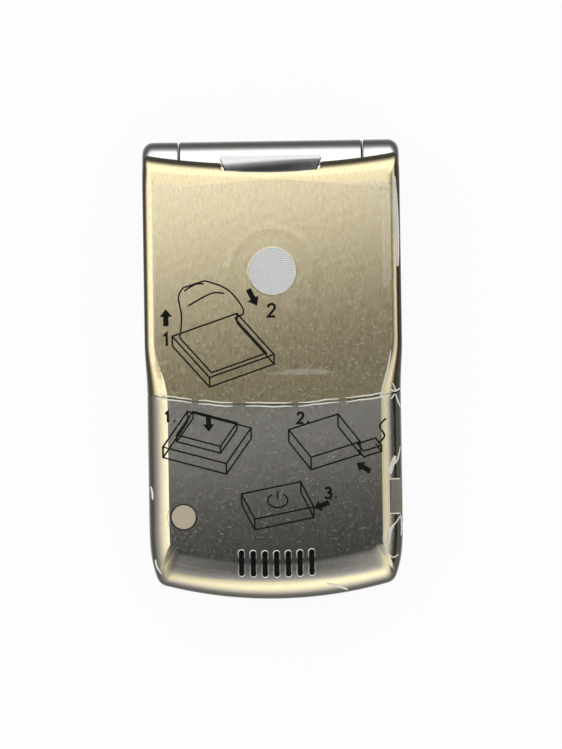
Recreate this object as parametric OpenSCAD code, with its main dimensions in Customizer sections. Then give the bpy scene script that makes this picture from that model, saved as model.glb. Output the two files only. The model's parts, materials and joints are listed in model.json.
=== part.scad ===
// Clamshell phone, closed and lying on its display half, with its battery side up.
// +Z points out of the back, +Y towards the hinge and X runs across the phone.
// The origin is the middle of the footprint, on the surface that the phone lies on.

/* [Overall] */
// Width across the battery door
body_w = 54; // [53:0.2:57]
// Length from the hinge barrel to the tip of the chin
body_l = 96.4; // [95:0.2:100]
// Thickness of the closed phone, with its protective film
body_t = 14.5; // [14.3:0.1:15.5]
// Thickness of the display half
flip_t = 6; // [5.8:0.1:6.2]
// Gap between the closed halves
fold_gap = 0.4; // [0.3:0.05:0.5]
// Length of the chin beyond the display half
chin_l = 16.6; // [15.5:0.1:17.5]
// How far each side of the chin lies inside the door's side
chin_step = 0.35; // [0:0.05:0.6]
// How far each side of the display half lies inside the door's side
flip_step = 0.5; // [0.4:0.05:0.8]

/* [Outline] */
// Radius of the curved tip of the chin
tip_r = 90.8; // [85:0.2:110]
// Radius of the chin's corners
corner_r = 2.7; // [2.4:0.1:3]
// How far each corner's centre lies inside the chin's side
corner_set = 4.05; // [3.8:0.05:4.3]
// Radius of the arc where the battery door meets the chin
seam_r = 147; // [130:1:180]
// Distance from the tip of the chin to the lowest point of that arc
seam_l = 40.9; // [40:0.1:41.6]
// Gap between neighbouring covers
cover_gap = 0.12; // [0.08:0.01:0.2]

/* [Shoulders] */
// Width of the rounded shoulder along the battery door
door_shoulder_w = 2.1; // [1.9:0.1:2.6]
// Height of the rounded shoulder along the battery door
door_shoulder_h = 2; // [1.8:0.1:2.4]
// Width of the rounded shoulder along the sides of the chin
chin_shoulder_w = 4.3; // [4:0.1:4.8]
// Height of the rounded shoulder round the chin
chin_shoulder_h = 4.5; // [4.1:0.1:4.7]
// How sharply the sides of the chin start from its flat
chin_crease = 0.24; // [0:0.02:0.3]
// Width of the rounding at the tip of the chin
tip_round_w = 8; // [7:0.2:8.6]
// Width of the rounding at the door's hinge end
end_round_w = 4; // [3.8:0.1:4.4]
// Height of the rounding at the door's hinge end
end_round_h = 4.4; // [4:0.1:4.6]
// Radius of the hollow curve of the door's hinge end
bow_r = 169; // [150:1:200]
// How much the back falls towards the hinge
door_fall = 0.5; // [0.2:0.05:0.6]
// How much the back falls towards the tip
chin_fall = 0.6; // [0.2:0.05:0.8]

/* [Hinge] */
// Diameter of the hinge barrel
barrel_d = 9.5; // [9.3:0.1:9.7]
// Length of the middle barrel
barrel_l = 38.6; // [37:0.2:40]
// Height of the hinge axis above the keypad face
axis_rise = 0.3; // [0.2:0.05:0.4]
// Running gap round the barrel and between its parts
barrel_gap = 0.3; // [0.25:0.05:0.35]
// Diameter of the cam cartridge
cartridge_d = 6; // [5.8:0.1:6.2]
// Length of the cam cartridge
cartridge_l = 14; // [13:0.5:15]
// Diameter of the keyed shaft
shaft_d = 3.4; // [3.2:0.1:3.6]
// Outside diameter of the hollow bush
bush_d = 5.6; // [5.4:0.1:5.8]
// Bore of the hollow bush
bush_bore = 4.2; // [4:0.1:4.4]
// Radial running clearance in the hinge
run_gap = 0.05; // [0.03:0.01:0.08]

/* [Housings] */
// Thickness of the keypad face
face_t = 0.9; // [0.8:0.05:1]
// Height of the parting line above the keypad face
split_h = 1.6; // [1.5:0.05:1.7]
// Wall between the outside and the board
wall_t = 2.4; // [2.2:0.1:2.6]
// Thickness of the battery door's skin
door_skin = 0.7; // [0.6:0.05:0.8]
// Height of the door's skirt above the parting line
skirt_h = 2.6; // [2.5:0.05:2.8]
// Height of the tub inside the skirt
tub_lip = 1; // [0.8:0.05:1.1]
// Height of the chin's front above the table
chin_lift = 0.3; // [0.25:0.05:0.5]
// Thickness of the protective film
film_t = 0.12; // [0.08:0.01:0.15]

/* [Inside the keypad half] */
// Thickness of the circuit boards
board_t = 0.8; // [0.7:0.05:0.9]
// Distance from the phone's side to the housing screws
screw_set = 3; // [2.9:0.05:3.1]
// Diameter of the housing screws
screw_d = 1.3; // [1.2:0.05:1.4]
// Thickness of the battery
battery_t = 3.3; // [3.1:0.05:3.4]
// Length of the shield cans
can_l = 16; // [14:0.5:17]
// Height of the shield cans
can_h = 1.6; // [1.4:0.1:1.8]
// Width of the loudspeaker
speaker_w = 18.4; // [17.5:0.1:19]
// Diameter of the vibration motor
motor_d = 2.4; // [2.2:0.1:2.5]
// Length of the vibration motor
motor_l = 9; // [8:0.5:10]

/* [Back details] */
// Diameter of the round badge
badge_d = 10.1; // [9.5:0.1:11]
// Distance of the badge from the hinge axis
badge_set = 22.8; // [21:0.2:24]
// How far the badge stands proud
badge_rise = 0.08; // [0.04:0.01:0.11]
// Pitch of the loudspeaker slots
slot_pitch = 2.45; // [2.3:0.05:2.6]
// Width of a loudspeaker slot
slot_w = 1.04; // [0.9:0.02:1.2]
// Length of a loudspeaker slot
slot_l = 5.3; // [4.8:0.1:5.6]
// Distance from the tip to the middle slot's centre
slot_set = 7.5; // [7.2:0.1:7.8]
// Diameter of the round test-port plug
plug_d = 5.2; // [4.8:0.1:5.5]
// Width of the latch where it meets the door
latch_w = 21.4; // [20:0.2:22]
// How much each end of the latch slants in towards the door
latch_slant = 1.5; // [1:0.1:1.8]
// Length of the latch that shows
latch_l = 3.3; // [3.1:0.05:3.5]
// Thickness of the latch
latch_t = 0.85; // [0.8:0.05:0.95]

/* [Keys] */
// Margin beside the keys
key_margin = 3.05; // [3:0.05:3.6]
// Margin between the last row and the tip of the display half
key_end = 4.75; // [4.5:0.05:5.5]
// Gap between key columns
column_gap = 0.8; // [0.6:0.05:1.2]
// Gap between key rows
row_gap = 0.7; // [0.6:0.05:1.2]
// Length of the keys in the row under the ring
call_l = 6.6; // [6:0.1:7]
// Width of the two soft keys
soft_w = 9; // [8:0.2:9.4]
// Length of the two soft keys
soft_l = 7; // [6.4:0.1:7.4]
// Thickness of a key
key_t = 0.7; // [0.65:0.05:0.75]
// Gap round each key
key_gap = 0.15; // [0.1:0.01:0.2]
// Outside diameter of the navigation ring
ring_d = 22; // [21:0.2:22.4]
// Diameter of the select key
select_d = 10.8; // [10:0.2:11.4]
// Distance from the hinge axis to the middle of the ring
ring_set = 21.4; // [21:0.1:21.8]

/* [Display half] */
// Height of the outer cover's edge
cover_t = 3; // [2.8:0.1:3.1]
// Thickness of the outer cover's wall
cover_wall = 1.2; // [1.1:0.05:1.4]
// Width of the inner screen's window
lens_w = 40; // [38:0.5:41]
// Distance from the inner screen's window to the camera and to the earpiece
lens_margin = 1.7; // [1.5:0.1:2.5]
// Width of the outer window
outer_lens_w = 28; // [26:0.5:30]
// Length of the outer window
outer_lens_l = 20; // [18:0.5:21]
// Thickness of the windows
lens_t = 0.6; // [0.5:0.05:0.65]
// Diameter of the camera's trim ring
camera_d = 9; // [8.5:0.1:9.4]
// Length of the volume rocker
rocker_l = 14; // [13:0.5:15]
// Length of the two single side keys
side_key_l = 6; // [5.5:0.1:6.5]
// How far the side keys stand out
side_key_rise = 0.25; // [0.2:0.01:0.25]

/* [Hidden] */
$fn = 48;
ARC = 360; // facets of the long arcs
END_POINTS = 5; // points along each half of the hollow hinge end
TOE_A = 20; // angle at which a side runs into its corner
film_lift = 0.01;
press = 0.2;

// Levels, from the table up
base_z = flip_t + fold_gap;
axis_z = base_z + axis_rise;
split_z = base_z + split_h;
skirt_z = split_z + skirt_h;
tub_z = skirt_z + tub_lip;
back_top = body_t - film_t;
board_z = split_z + 0.02;
bay_z = board_z + board_t + 0.8;
inner_z = base_z + face_t;
key_z = base_z + 0.1;
web_z = key_z + key_t + 0.25;
boss_top = board_z + board_t + 0.2;

// Places along and across the phone
chin_w = body_w - 2*chin_step;
flip_w = body_w - 2*flip_step;
tip_y = -body_l/2;
barrel_r = barrel_d/2;
axis_y = body_l/2 - barrel_r;
clear_r = barrel_r + barrel_gap;
front_end_y = axis_y - clear_r;
door_end_y = axis_y + 0.25;
seam_y = tip_y + seam_l;
flip_tip_y = tip_y + chin_l;
tip_cy = tip_y + tip_r;
half_barrel = barrel_l/2;
flip_end_y = axis_y - 1.5;

// Outline of the keypad half
flat_corner_r = 2.2;
end_corner_r = 0.9;
front_round_w = 2.2;
front_round_h = 2;
waist_y = seam_y + 3.3;
waist_l = 10;
toe_y = tip_y + 18.2;
corner_x = chin_w/2 - corner_set;
corner_cy = tip_cy - sqrt(pow(tip_r - corner_r, 2) - corner_x*corner_x);
toe_end_y = corner_cy - corner_r*sin(TOE_A);
toe_in = chin_w/2 - corner_x - corner_r*cos(TOE_A);
swell_y = seam_y + 13.6;
swell_l = 12.6;
end_l = 5;
bow_l = 10;

// Battery bay and latch
bay_gap = 0.3;
bay_y = seam_y + 3.8;
motor_y = front_end_y - 3.5;
motor_gap = 0.2;
bay_l = motor_y - motor_d/2 - 0.6 - bay_y;
battery_l = bay_l - 2*bay_gap;
battery_y = bay_y + bay_l/2;
tub_gap = 0.15;
sim_w = 16;
sim_l = 17;
flex_t = 0.15;
flex_d = bush_bore - 0.6;
flex_z = axis_z + flex_d/2 - flex_t;
flex_x = 6;
flex_w = 5.5;
flex_y = front_end_y - 1.1;
latch_z = axis_z + clear_r;
latch_back_y = door_end_y + 0.9;
latch_front_y = latch_back_y - latch_l;
spring_y = latch_front_y - 2.8;
latch_travel = 0.8;
notch_x = latch_w/2 - latch_slant*(1 - (1 + latch_travel)/latch_l) + 0.15;
catch_y = spring_y - 1.2 - latch_travel;
tab_x = 12;
tab_w = 6;
tab_t = 0.6;
tab_l = 1.3;
tab_z = back_top - 1.8;
screw_x = body_w/2 - screw_set;
boss_d = 3;
screw_head_d = 2.5;
screw_head_z = tub_z - 1.1;
battery_w = 2*(screw_x - boss_d/2 - 0.2 - bay_gap);
web_w = 2*screw_x - boss_d - 0.6;

// Chin
cavity_x = chin_w/2 - 6.65;
cavity_top = back_top - 1.6;
cavity_end_y = seam_y - 3.7;
can_y = cavity_end_y - 2 - can_l/2;
port_y = tip_y + 21.3;
port_w = 7;
port_x = chin_w/2 - 2.6;
socket_l = 7;
socket_h = 3.6;
socket_wall = 0.4;
can_left_x = 2.4 - cavity_x;
can_right_x = port_x - socket_l - 1.65;
can_w = (can_right_x - can_left_x - 5)/2;
plug_x = 7.35 - chin_w/2;
plug_y = tip_y + 17.6;
stem_d = 2.2;
mic_x = cavity_x - 6;
mic_y = flip_tip_y - 4.6;
speaker_y = tip_y + slot_set;
speaker_t = 2.6;
mesh_t = 0.1;

// Display half
flip_corner_r = 3;
flip_end_r = 1.5;
flip_round_w = 2;
flip_round_h = 1.8;
bezel_t = 1;
bezel_z = flip_t - bezel_t;
camera_y = axis_y - 11.5;
camera_bore = 6.8;
outer_lens_y = axis_y - 29.4;
earpiece_y = flip_tip_y + 6.4;
earpiece_w = 12;
earpiece_l = 4.6;
lens_top_y = camera_y - camera_d/2 - lens_margin;
lens_end_y = earpiece_y + earpiece_l/2 + lens_margin;
lens_l = lens_top_y - lens_end_y;
lens_y = (lens_top_y + lens_end_y)/2;
bumper_t = 0.25;
knuckle_cap = 1.5;
shaft_end_x = body_w/2 - knuckle_cap;
shaft_in_x = 9 - half_barrel;
bush_end_x = shaft_end_x - 0.4;
knuckle_l = body_w/2 - half_barrel - barrel_gap/2;
knuckle_r = 2.3;
rocker_y = axis_y - 23;
smart_y = rocker_y - rocker_l/2 - side_key_l/2 - 4;
side_key_z = cover_t + 1;
side_key_t = 1.4;

// Middle of the ring, and the rows below it
ring_y = axis_y - ring_set;
call_y = ring_y - ring_d/2 - 0.7 - call_l/2;
row_top_y = call_y - call_l/2 - 0.9;
key_pitch_y = (row_top_y - flip_tip_y - key_end + row_gap)/4;
key_l = key_pitch_y - row_gap;
row_y = row_top_y - key_l/2;
key_pitch_x = (chin_w - 2*key_margin + column_gap)/3;
key_w = key_pitch_x - column_gap;
soft_x = key_pitch_x + key_w/2 - 0.9 - soft_w/2;
soft_y = ring_y + 6.3;
inner_ring_d = select_d + 4*key_gap;

// Name, place across, place along, width, length of the flat keys, seen from the back
KEYS = concat(
  [for (n = [1:9]) [str("key_", n), key_pitch_x*(1 - (n - 1)%3), row_y - key_pitch_y*floor((n - 1)/3),
                    key_w, key_l]],
  [for (k = [0:2]) [["key_star", "key_0", "key_hash"][k], key_pitch_x*(1 - k), row_y - 3*key_pitch_y,
                    key_w, key_l]],
  [for (k = [0:2]) [["send_key", "clear_key", "end_key"][k], key_pitch_x*(1 - k), call_y, key_w, call_l]],
  [["soft_left", soft_x, soft_y, soft_w, soft_l], ["soft_right", -soft_x, soft_y, soft_w, soft_l]]);

// ---- Outlines and skins ----

function ease(t) = let (u = min(1, max(0, t))) u*u*(3 - 2*u);
function arc(c, r, from, to, n, skip = 0) =
  [for (i = [skip:n]) let (a = from + (to - from)*i/n) c + r*[cos(a), sin(a)]];
function closed(half) = concat(half, [for (i = [len(half) - 1:-1:1]) [-half[i].x, half[i].y]]);
function raised(points, z) = [for (p = points) [p.x, p.y, z]];

function side_x(y) = chin_w/2 + (body_w - chin_w)/2*ease((y - waist_y)/waist_l)
  - toe_in*pow(max(0, (toe_y - y)/(toe_y - toe_end_y)), 3.5);
function swell(y) = ease((swell_y - y)/swell_l);
function shoulder_w(y) = door_shoulder_w + (chin_shoulder_w - door_shoulder_w)*swell(y);
function shoulder_h(y) = door_shoulder_h + (chin_shoulder_h - door_shoulder_h)*swell(y)
  + (end_round_h - door_shoulder_h)*ease((y - door_end_y)/end_l + 1);
function crease(y) = chin_crease*swell(y)*ease((y - toe_end_y + 1)/5);
function back_z(y) = back_top - (y > seam_y
  ? door_fall*pow((y - seam_y)/(door_end_y - seam_y), 2)
  : chin_fall*pow((seam_y - y)/(seam_y - tip_y), 2));

// Half outline of the keypad half, inset by a fixed amount and by k times the shoulder, with a number
// of points along its hinge end
function half_outline(in, k = 0, ends = 0) =
  let (r = k == 0 ? max(0.6, corner_r - in) : flat_corner_r,
       tip = tip_r - in - k*tip_round_w,
       cx = corner_x + (corner_r - r)*cos(TOE_A) - in - k*chin_shoulder_w,
       cy = tip_cy - sqrt(pow(tip - r, 2) - cx*cx),
       a = atan2(cy - tip_cy, cx),
       y0 = cy - r*sin(TOE_A),
       y1 = door_end_y - in - k*end_round_w - end_corner_r,
       x1 = side_x(y1) - in - k*shoulder_w(y1) - end_corner_r)
  concat(arc([0, tip_cy], tip, -90, a, 6), arc([cx, cy], r, a, -TOE_A, 4, 1),
    [for (i = [1:14]) let (y = y0 + (y1 - y0)*pow(i/14, 1.4)) [side_x(y) - in - k*shoulder_w(y), y]],
    arc([x1, y1], end_corner_r, 0, 90, 3, 1),
    [for (i = [ends:-1:1]) [x1*i/(ends + 1), y1 + end_corner_r]]);

function flip_outline(in) =
  let (r = max(0.6, flip_corner_r - in), tip = tip_r - in, tc = flip_tip_y + tip_r,
       cx = flip_w/2 - in - r, cy = tc - sqrt(pow(tip - r, 2) - cx*cx), a = atan2(cy - tc, cx),
       x1 = flip_w/2 - in - flip_end_r, y1 = flip_end_y - in - flip_end_r)
  closed(concat(arc([0, tc], tip, -90, a, 6), arc([cx, cy], r, a, 0, 4, 1),
    arc([x1, y1], flip_end_r, 0, 90, 4)));

function round_rect(w, l, r) =
  [for (q = [[1, 1, 0], [-1, 1, 90], [-1, -1, 180], [1, -1, 270]])
    each arc([q.x*(w/2 - r), q.y*(l/2 - r)], r, q.z, q.z + 90, 4)];

// Solid skin through closed rings of equal length, with flat strips across both ends. A hollow end
// edge of so many points is filled from the sides.
module loft(rings, ends = 0) {
  n = len(rings[0]);
  m = (n - 1)/2;
  s = ends > 0 ? m - ends - 4 : m;
  last = n*(len(rings) - 1);
  walls = [for (j = [0:len(rings) - 2], i = [0:n - 1]) let (k = (i + 1)%n, a = j*n, b = a + n)
    each [[a + i, b + i, b + k], [a + i, b + k, a + k]]];
  low = concat([[0, 1, n - 1]],
    [for (i = [1:s - 1]) each [[i, i + 1, n - i - 1], [i, n - i - 1, n - i]]],
    s == m ? [] : [for (i = [s + 1:m - 1]) each [[s, i, i + 1], [n - s, n - i - 1, n - i]]],
    s == m ? [] : [[s, m, m + 1], [s, m + 1, n - s]]);
  high = [for (t = low) [t[2] + last, t[1] + last, t[0] + last]];
  polyhedron(concat([for (r = rings) each r]), concat(low, walls, high), convexity = 6);
}

// The rounded back, from z0 up, inset by a wall
module back_form(z0, in = 0) {
  outer = closed(half_outline(in, 0, END_POINTS));
  flat_edge = closed(half_outline(0, 1, END_POINTS));
  shells = [for (phi = [0:22.5:90])
    [for (i = [0:len(outer) - 1])
      let (u = cos(phi), p = outer[i] + (flat_edge[i] - outer[i])*(1 - u), q = bowed(p))
      [q.x, q.y, back_z(q.y) - in - (shoulder_h(p.y) - in)*(1 - sin(phi) + crease(p.y)*u*(1 - u))]]];
  loft(concat([raised([for (p = outer) bowed(p)], z0)], shells), END_POINTS);
}

// The hinge end of the back follows a hollow curve
function bowed(p) = [p.x, p.y + p.x*p.x/2/bow_r*ease((p.y - door_end_y)/bow_l + 1)];

// The rounded front of the chin, up to z1
module front_form(z1) {
  outer = closed(half_outline(0));
  flat_edge = closed(half_outline(front_round_w));
  shells = [for (phi = [90:-30:0])
    [for (i = [0:len(outer) - 1])
      let (p = outer[i] + (flat_edge[i] - outer[i])*(1 - cos(phi)))
      [p.x, p.y, chin_lift + front_round_h*(1 - sin(phi))]]];
  loft(concat(shells, [raised(outer, z1)]));
}

module plate(w, l, h, r) linear_extrude(h) polygon(round_rect(w, l, r));
module block(x0, x1, y0, y1, z0, z1) translate([x0, y0, z0]) cube([x1 - x0, y1 - y0, z1 - z0]);
module mid_block(w, y0, y1, z0, z1) block(-w/2, w/2, y0, y1, z0, z1);
module rod(d, x0, x1) translate([x0, axis_y, axis_z]) rotate([0, 90, 0]) cylinder(h = x1 - x0, d = d);
module both_sides() for (s = [0, 1]) mirror([s, 0, 0]) children();
// Everything on the hinge side of the door's seam, moved towards the tip by grow
module door_side(z0, z1, grow = 0)
  translate([0, seam_y + seam_r, z0]) cylinder(h = z1 - z0, r = seam_r + grow, $fn = ARC);
// Space that the barrel parts leave free in the other half
module knuckle_space(d) for (s = [0, 1]) mirror([s, 0, 0]) rod(d, half_barrel - barrel_gap/2, body_w);

// ---- Keypad half ----

module rear_housing() color("#6f6d66") difference() {
  union() {
    back_form(split_z);
    rod(barrel_d, -half_barrel, half_barrel);
    tongue();
  }
  // room for the battery door, down to its skirt and round the tub
  difference() {
    door_side(skirt_z - cover_gap, body_t + 1, cover_gap);
    tub();
    rod(barrel_d, -half_barrel, half_barrel);
    tongue();
  }
  knuckle_space(2*clear_r);
  mid_block(battery_w + 2*bay_gap, bay_y, bay_y + bay_l, bay_z, body_t);
  mid_block(body_w - 2*wall_t, tip_y + 5.4, front_end_y - 1, split_z - 1, boss_top + 0.1);
  at_screws() cylinder(h = boss_top + 0.1, d = boss_d + 0.2);
  mid_block(sim_w + 1, battery_y - sim_l/2 - 0.5, battery_y + sim_l/2 + 0.5, split_z, bay_z + 1);
  mid_block(2*cavity_x, tip_y + tip_round_w + 0.6, cavity_end_y, split_z, cavity_top);
  mid_block(speaker_w + 1, speaker_y - 3, speaker_y + 5, split_z, cavity_top);
  both_sides() tab_pocket();
  speaker_slots(cavity_top - 1, body_t);
  translate([plug_x, plug_y, cavity_top - 1]) cylinder(h = 4, d = plug_d + 0.2);
  translate([plug_x, plug_y, board_z]) cylinder(h = cavity_top - board_z, d = stem_d + 0.4);
  block(port_x, body_w, port_y - port_w/2, port_y + port_w/2, board_z + board_t, body_t);
  block(cavity_x - 3, port_x + 1, port_y - port_w/2 - 0.6, port_y + port_w/2 + 0.6, board_z,
        board_z + board_t + socket_h + 0.1);
  mid_block(motor_l + 2*motor_gap, motor_y - motor_d/2 - motor_gap, motor_y + motor_d/2 + motor_gap,
            board_z + board_t, tub_z + 1);
  rod(cartridge_d + 2*run_gap, -half_barrel - 1, -half_barrel + cartridge_l + 0.2);
  rod(bush_d + 2*run_gap, half_barrel - 7, half_barrel + 1);
  rod(bush_bore, flex_x - 2, half_barrel);
  block(flex_x - 0.2, flex_x + flex_w + 0.2, flex_y - 0.3, axis_y, flex_z - 0.2, boss_top + 0.2);
  at_screws() cylinder(h = body_t, d = screw_d + 0.3);
  at_screws() translate([0, 0, screw_head_z]) cylinder(h = 2, d = screw_head_d + 0.3);
}

// Inner wall that the door's skirt closes round
module tub() difference() {
  back_form(split_z, door_skin + tub_gap);
  translate([0, 0, tub_z]) cylinder(h = body_t, r = 2*body_l);
}

// Raised lip of the middle barrel, which the latch lies on
module tongue() translate([0, 0, skirt_z - 1]) linear_extrude(latch_z - 0.2 - skirt_z + 1)
  polygon([[-half_barrel + 0.2, latch_back_y], [-half_barrel + 0.2, latch_back_y - 0.1],
    [-latch_w/2 - 0.3, axis_y - 0.65], [latch_w/2 + 0.3, axis_y - 0.65],
    [half_barrel - 0.2, latch_back_y - 0.1], [half_barrel - 0.2, latch_back_y]]);

module tab_pocket() block(tab_x - tab_w/2 - 0.3, tab_x + tab_w/2 + 0.3, seam_y - tab_l - 1.2, seam_y + 2,
  tab_z - 1.9, tab_z + tab_t + 0.3);

module both_ends(l) for (s = [-1, 1]) translate([0, s*l/2, 0]) children();

// Seven slots in a row that follows the tip of the chin
module speaker_slots(z0, z1) for (i = [-3:3])
  translate([i*slot_pitch, speaker_y + 0.28*pow(i/3, 2), z0]) {
    translate([-slot_w/2, -(slot_l - slot_w)/2, 0]) cube([slot_w, slot_l - slot_w, z1 - z0]);
    both_ends(slot_l - slot_w) cylinder(h = z1 - z0, d = slot_w);
  }

module at_screws() for (x = [-screw_x, screw_x], y = [bay_y + 0.5, bay_y + bay_l - 1.6])
  translate([x, y, 0]) children();

module front_housing() color("#8f8d86") difference() {
  union() {
    front_shell();
    at_screws() translate([0, 0, base_z + face_t/2]) cylinder(h = boss_top - base_z - face_t/2, d = boss_d);
  }
  at_screws() translate([0, 0, inner_z + 0.2]) cylinder(h = 3, d = screw_d);
  for (k = KEYS) key_shape(k, key_gap, base_z - 1, key_t + press + 1.3);
  translate([0, ring_y, base_z - 1]) cylinder(h = 3, d = ring_d + 2*key_gap);
  translate([mic_x, mic_y, -1]) cylinder(h = 3, d = 1);
}

module front_shell() difference() {
  front_form(split_z);
  translate([0, flip_tip_y + tip_r, -1]) cylinder(h = base_z + 1, r = tip_r + fold_gap, $fn = ARC);
  block(-body_w, body_w, front_end_y, body_l, -1, body_t);
  mid_block(body_w - 2*wall_t, flip_tip_y + 4.2, front_end_y - 1, inner_z, split_z + 1);
  mid_block(2*cavity_x, tip_y + 5.2, flip_tip_y - 2.2, chin_lift + 1.2, split_z + 1);
  mid_block(2*cavity_x, tip_y + 5.2, flip_tip_y + 6, inner_z, split_z + 1);
}

module battery() color("#3b3c40") translate([0, battery_y, bay_z + 0.05])
  plate(battery_w, battery_l, battery_t, 2);

module main_board() color("#2f5d3a") difference() {
  mid_block(body_w - 2*wall_t - 0.6, tip_y + 5.7, front_end_y - 1.3, board_z, board_z + board_t);
  at_screws() cylinder(h = body_t, d = boss_d + 0.2);
}

module shield_cans() color("silver") for (x = [can_left_x + can_w/2, can_right_x - can_w/2])
  translate([x, can_y, board_z + board_t]) plate(can_w, can_l, can_h, 0.8);

module sim_socket() color("gainsboro") translate([0, battery_y, board_z + board_t])
  plate(sim_w, sim_l, 0.75, 0.5);

module dome_sheet() color("lightgray")
  mid_block(web_w - 1, flip_tip_y + 5.1, ring_y + ring_d/2 + 1, split_z - 0.15, split_z);

module keypad_web() color("#d8d5cc")
  mid_block(web_w, flip_tip_y + 5, ring_y + ring_d/2 + 2, web_z, split_z - 0.2);

module antenna() color("#4a4a48")
  mid_block(2*cavity_x - 2, tip_y + 5.6, mic_y - 2.6, chin_lift + 1.25, split_z - 0.1);

module loudspeaker() color("#22252a") translate([0, speaker_y + 1, cavity_top - mesh_t - 0.05 - speaker_t])
  plate(speaker_w, 7.6, speaker_t, 1.6);

module speaker_mesh() color("#111111") translate([0, speaker_y + 0.5, cavity_top - mesh_t])
  plate(speaker_w - 0.4, 6.6, mesh_t, 0.5);

module microphone() color("silver") translate([mic_x, mic_y, chin_lift + 1.22]) cylinder(h = 1.5, d = 4);

module rf_port_plug() color("#b5a78e") translate([plug_x, plug_y, 0]) {
  translate([0, 0, back_z(plug_y) - 1.65]) cylinder(h = 1.6, d = plug_d);
  translate([0, 0, board_z + board_t]) cylinder(h = back_z(plug_y) - 1.6 - board_z - board_t, d = stem_d);
}

module usb_socket() color("#9a9892") difference() {
  block(port_x - socket_l, chin_w/2 - 0.15, port_y - port_w/2 + 0.1, port_y + port_w/2 - 0.1,
        board_z + board_t, board_z + board_t + socket_h);
  block(port_x - socket_l + 1, body_w, port_y - port_w/2 + 0.1 + socket_wall,
        port_y + port_w/2 - 0.1 - socket_wall, board_z + board_t + socket_wall,
        board_z + board_t + socket_h - socket_wall);
}

module vibration_motor() color("silver") translate([-motor_l/2, motor_y, board_z + board_t + motor_d/2])
  rotate([0, 90, 0]) cylinder(h = motor_l, d = motor_d);

module hinge_cartridge() color("#a7a9ac") difference() {
  rod(cartridge_d, -half_barrel + 0.1, -half_barrel + cartridge_l);
  rod(shaft_d + 2*run_gap, -half_barrel, shaft_in_x + 0.2);
}

module display_flex() color("#c98a2b") {
  difference() {
    rod(flex_d, flex_x, half_barrel + 3);
    rod(flex_d - 0.4, flex_x - 1, half_barrel + 4);
  }
  block(flex_x, flex_x + flex_w, flex_y, axis_y, flex_z, flex_z + flex_t);
  block(flex_x, flex_x + flex_w, flex_y, flex_y + flex_t, flex_z, board_z + board_t + 0.1 + flex_t);
  block(flex_x, flex_x + flex_w, flex_y - 2.9, flex_y + 0.1, board_z + board_t + 0.1,
        board_z + board_t + 0.1 + flex_t);
}

module housing_screws() color("#55565a") at_screws() {
  translate([0, 0, inner_z + 0.2]) cylinder(h = screw_head_z - inner_z - 0.2, d = screw_d);
  translate([0, 0, screw_head_z]) cylinder(h = 0.9, d = screw_head_d);
}

// Thin film on the flat of the back, between two distances from the tip
module film(y0, y1, in) {
  steps = 8;
  rings = [for (i = [0:steps])
    let (y = y0 + (y1 - y0)*i/steps, x = side_x(y) - shoulder_w(y) - in, z = back_z(y))
    [[x, y, z + film_lift], [x, y, z + film_t], [-x, y, z + film_t], [-x, y, z + film_lift]]];
  walls = [for (j = [0:steps - 1], i = [0:3]) let (k = (i + 1)%4, a = 4*j, b = a + 4)
    each [[a + i, b + k, b + i], [a + i, a + k, b + k]]];
  polyhedron(concat([for (r = rings) each r]),
    concat([[3, 2, 1, 0]], walls, [[for (i = [0:3]) 4*steps + i]]));
}

module chin_film() color([0.75, 0.75, 0.72, 0.6]) difference() {
  film(tip_y + tip_round_w + 0.4, seam_y - 0.4, 0.6);
  translate([plug_x, plug_y, body_t - 3]) cylinder(h = 4, d = plug_d + 1.2);
  translate([0, speaker_y, body_t - 2]) plate(speaker_w, slot_l + 2.4, 3, 1);
}

module door_film() color([0.85, 0.8, 0.65, 0.6]) difference() {
  film(seam_y + 2.6, latch_front_y - 2.2, 0.5);
  translate([0, axis_y - badge_set, body_t - 2]) cylinder(h = 4, d = badge_d + 1);
}

module battery_door() color("#c9b98f") {
  difference() {
    intersection() {
      back_form(split_z);
      door_side(skirt_z, body_t + 1);
    }
    back_form(split_z - 1, door_skin);
    rod(2*clear_r, -body_w, body_w);
    translate([0, axis_y - badge_set, back_z(axis_y - badge_set) - 0.3]) cylinder(h = 2, d = badge_d + 0.1);
    latch_notch();
    latch_room();
  }
  both_sides() door_tab();
  mid_block(8, catch_y - 0.9, catch_y - 0.1, latch_z + 0.2, back_z(spring_y) - door_skin + 0.1);
}

// Room for the latch at rest and pushed in
module latch_notch() translate([0, 0, latch_z - 1]) linear_extrude(body_t) polygon([
  [-latch_w/2 - 0.2, body_l], [-latch_w/2 - 0.2, door_end_y], [-notch_x, latch_front_y + 0.5],
  [-latch_w/4, latch_front_y + 0.15], [0, latch_front_y], [latch_w/4, latch_front_y + 0.15],
  [notch_x, latch_front_y + 0.5], [latch_w/2 + 0.2, door_end_y], [latch_w/2 + 0.2, body_l]]);

// Room under the door's edge for the latch as it is pushed in
module latch_room() translate([0, 0, latch_z - 1]) linear_extrude(latch_t + 1.12) polygon([
  [-notch_x, latch_front_y + 0.5], [latch_slant - latch_w/2 - 0.15, latch_front_y - 0.65 - latch_travel],
  [latch_w/2 - latch_slant + 0.15, latch_front_y - 0.65 - latch_travel], [notch_x, latch_front_y + 0.5]]);

module door_tab() {
  block(tab_x - tab_w/2, tab_x + tab_w/2, seam_y - tab_l, seam_y + 3, tab_z, tab_z + tab_t);
  block(tab_x - tab_w/2, tab_x + tab_w/2, seam_y + 1.3, seam_y + 3, tab_z, back_z(seam_y) - door_skin + 0.2);
}

module badge() color("#cfd2d3") translate([0, axis_y - badge_set, back_z(axis_y - badge_set) - 0.3])
  cylinder(h = 0.3 + badge_rise, d = badge_d);

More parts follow.
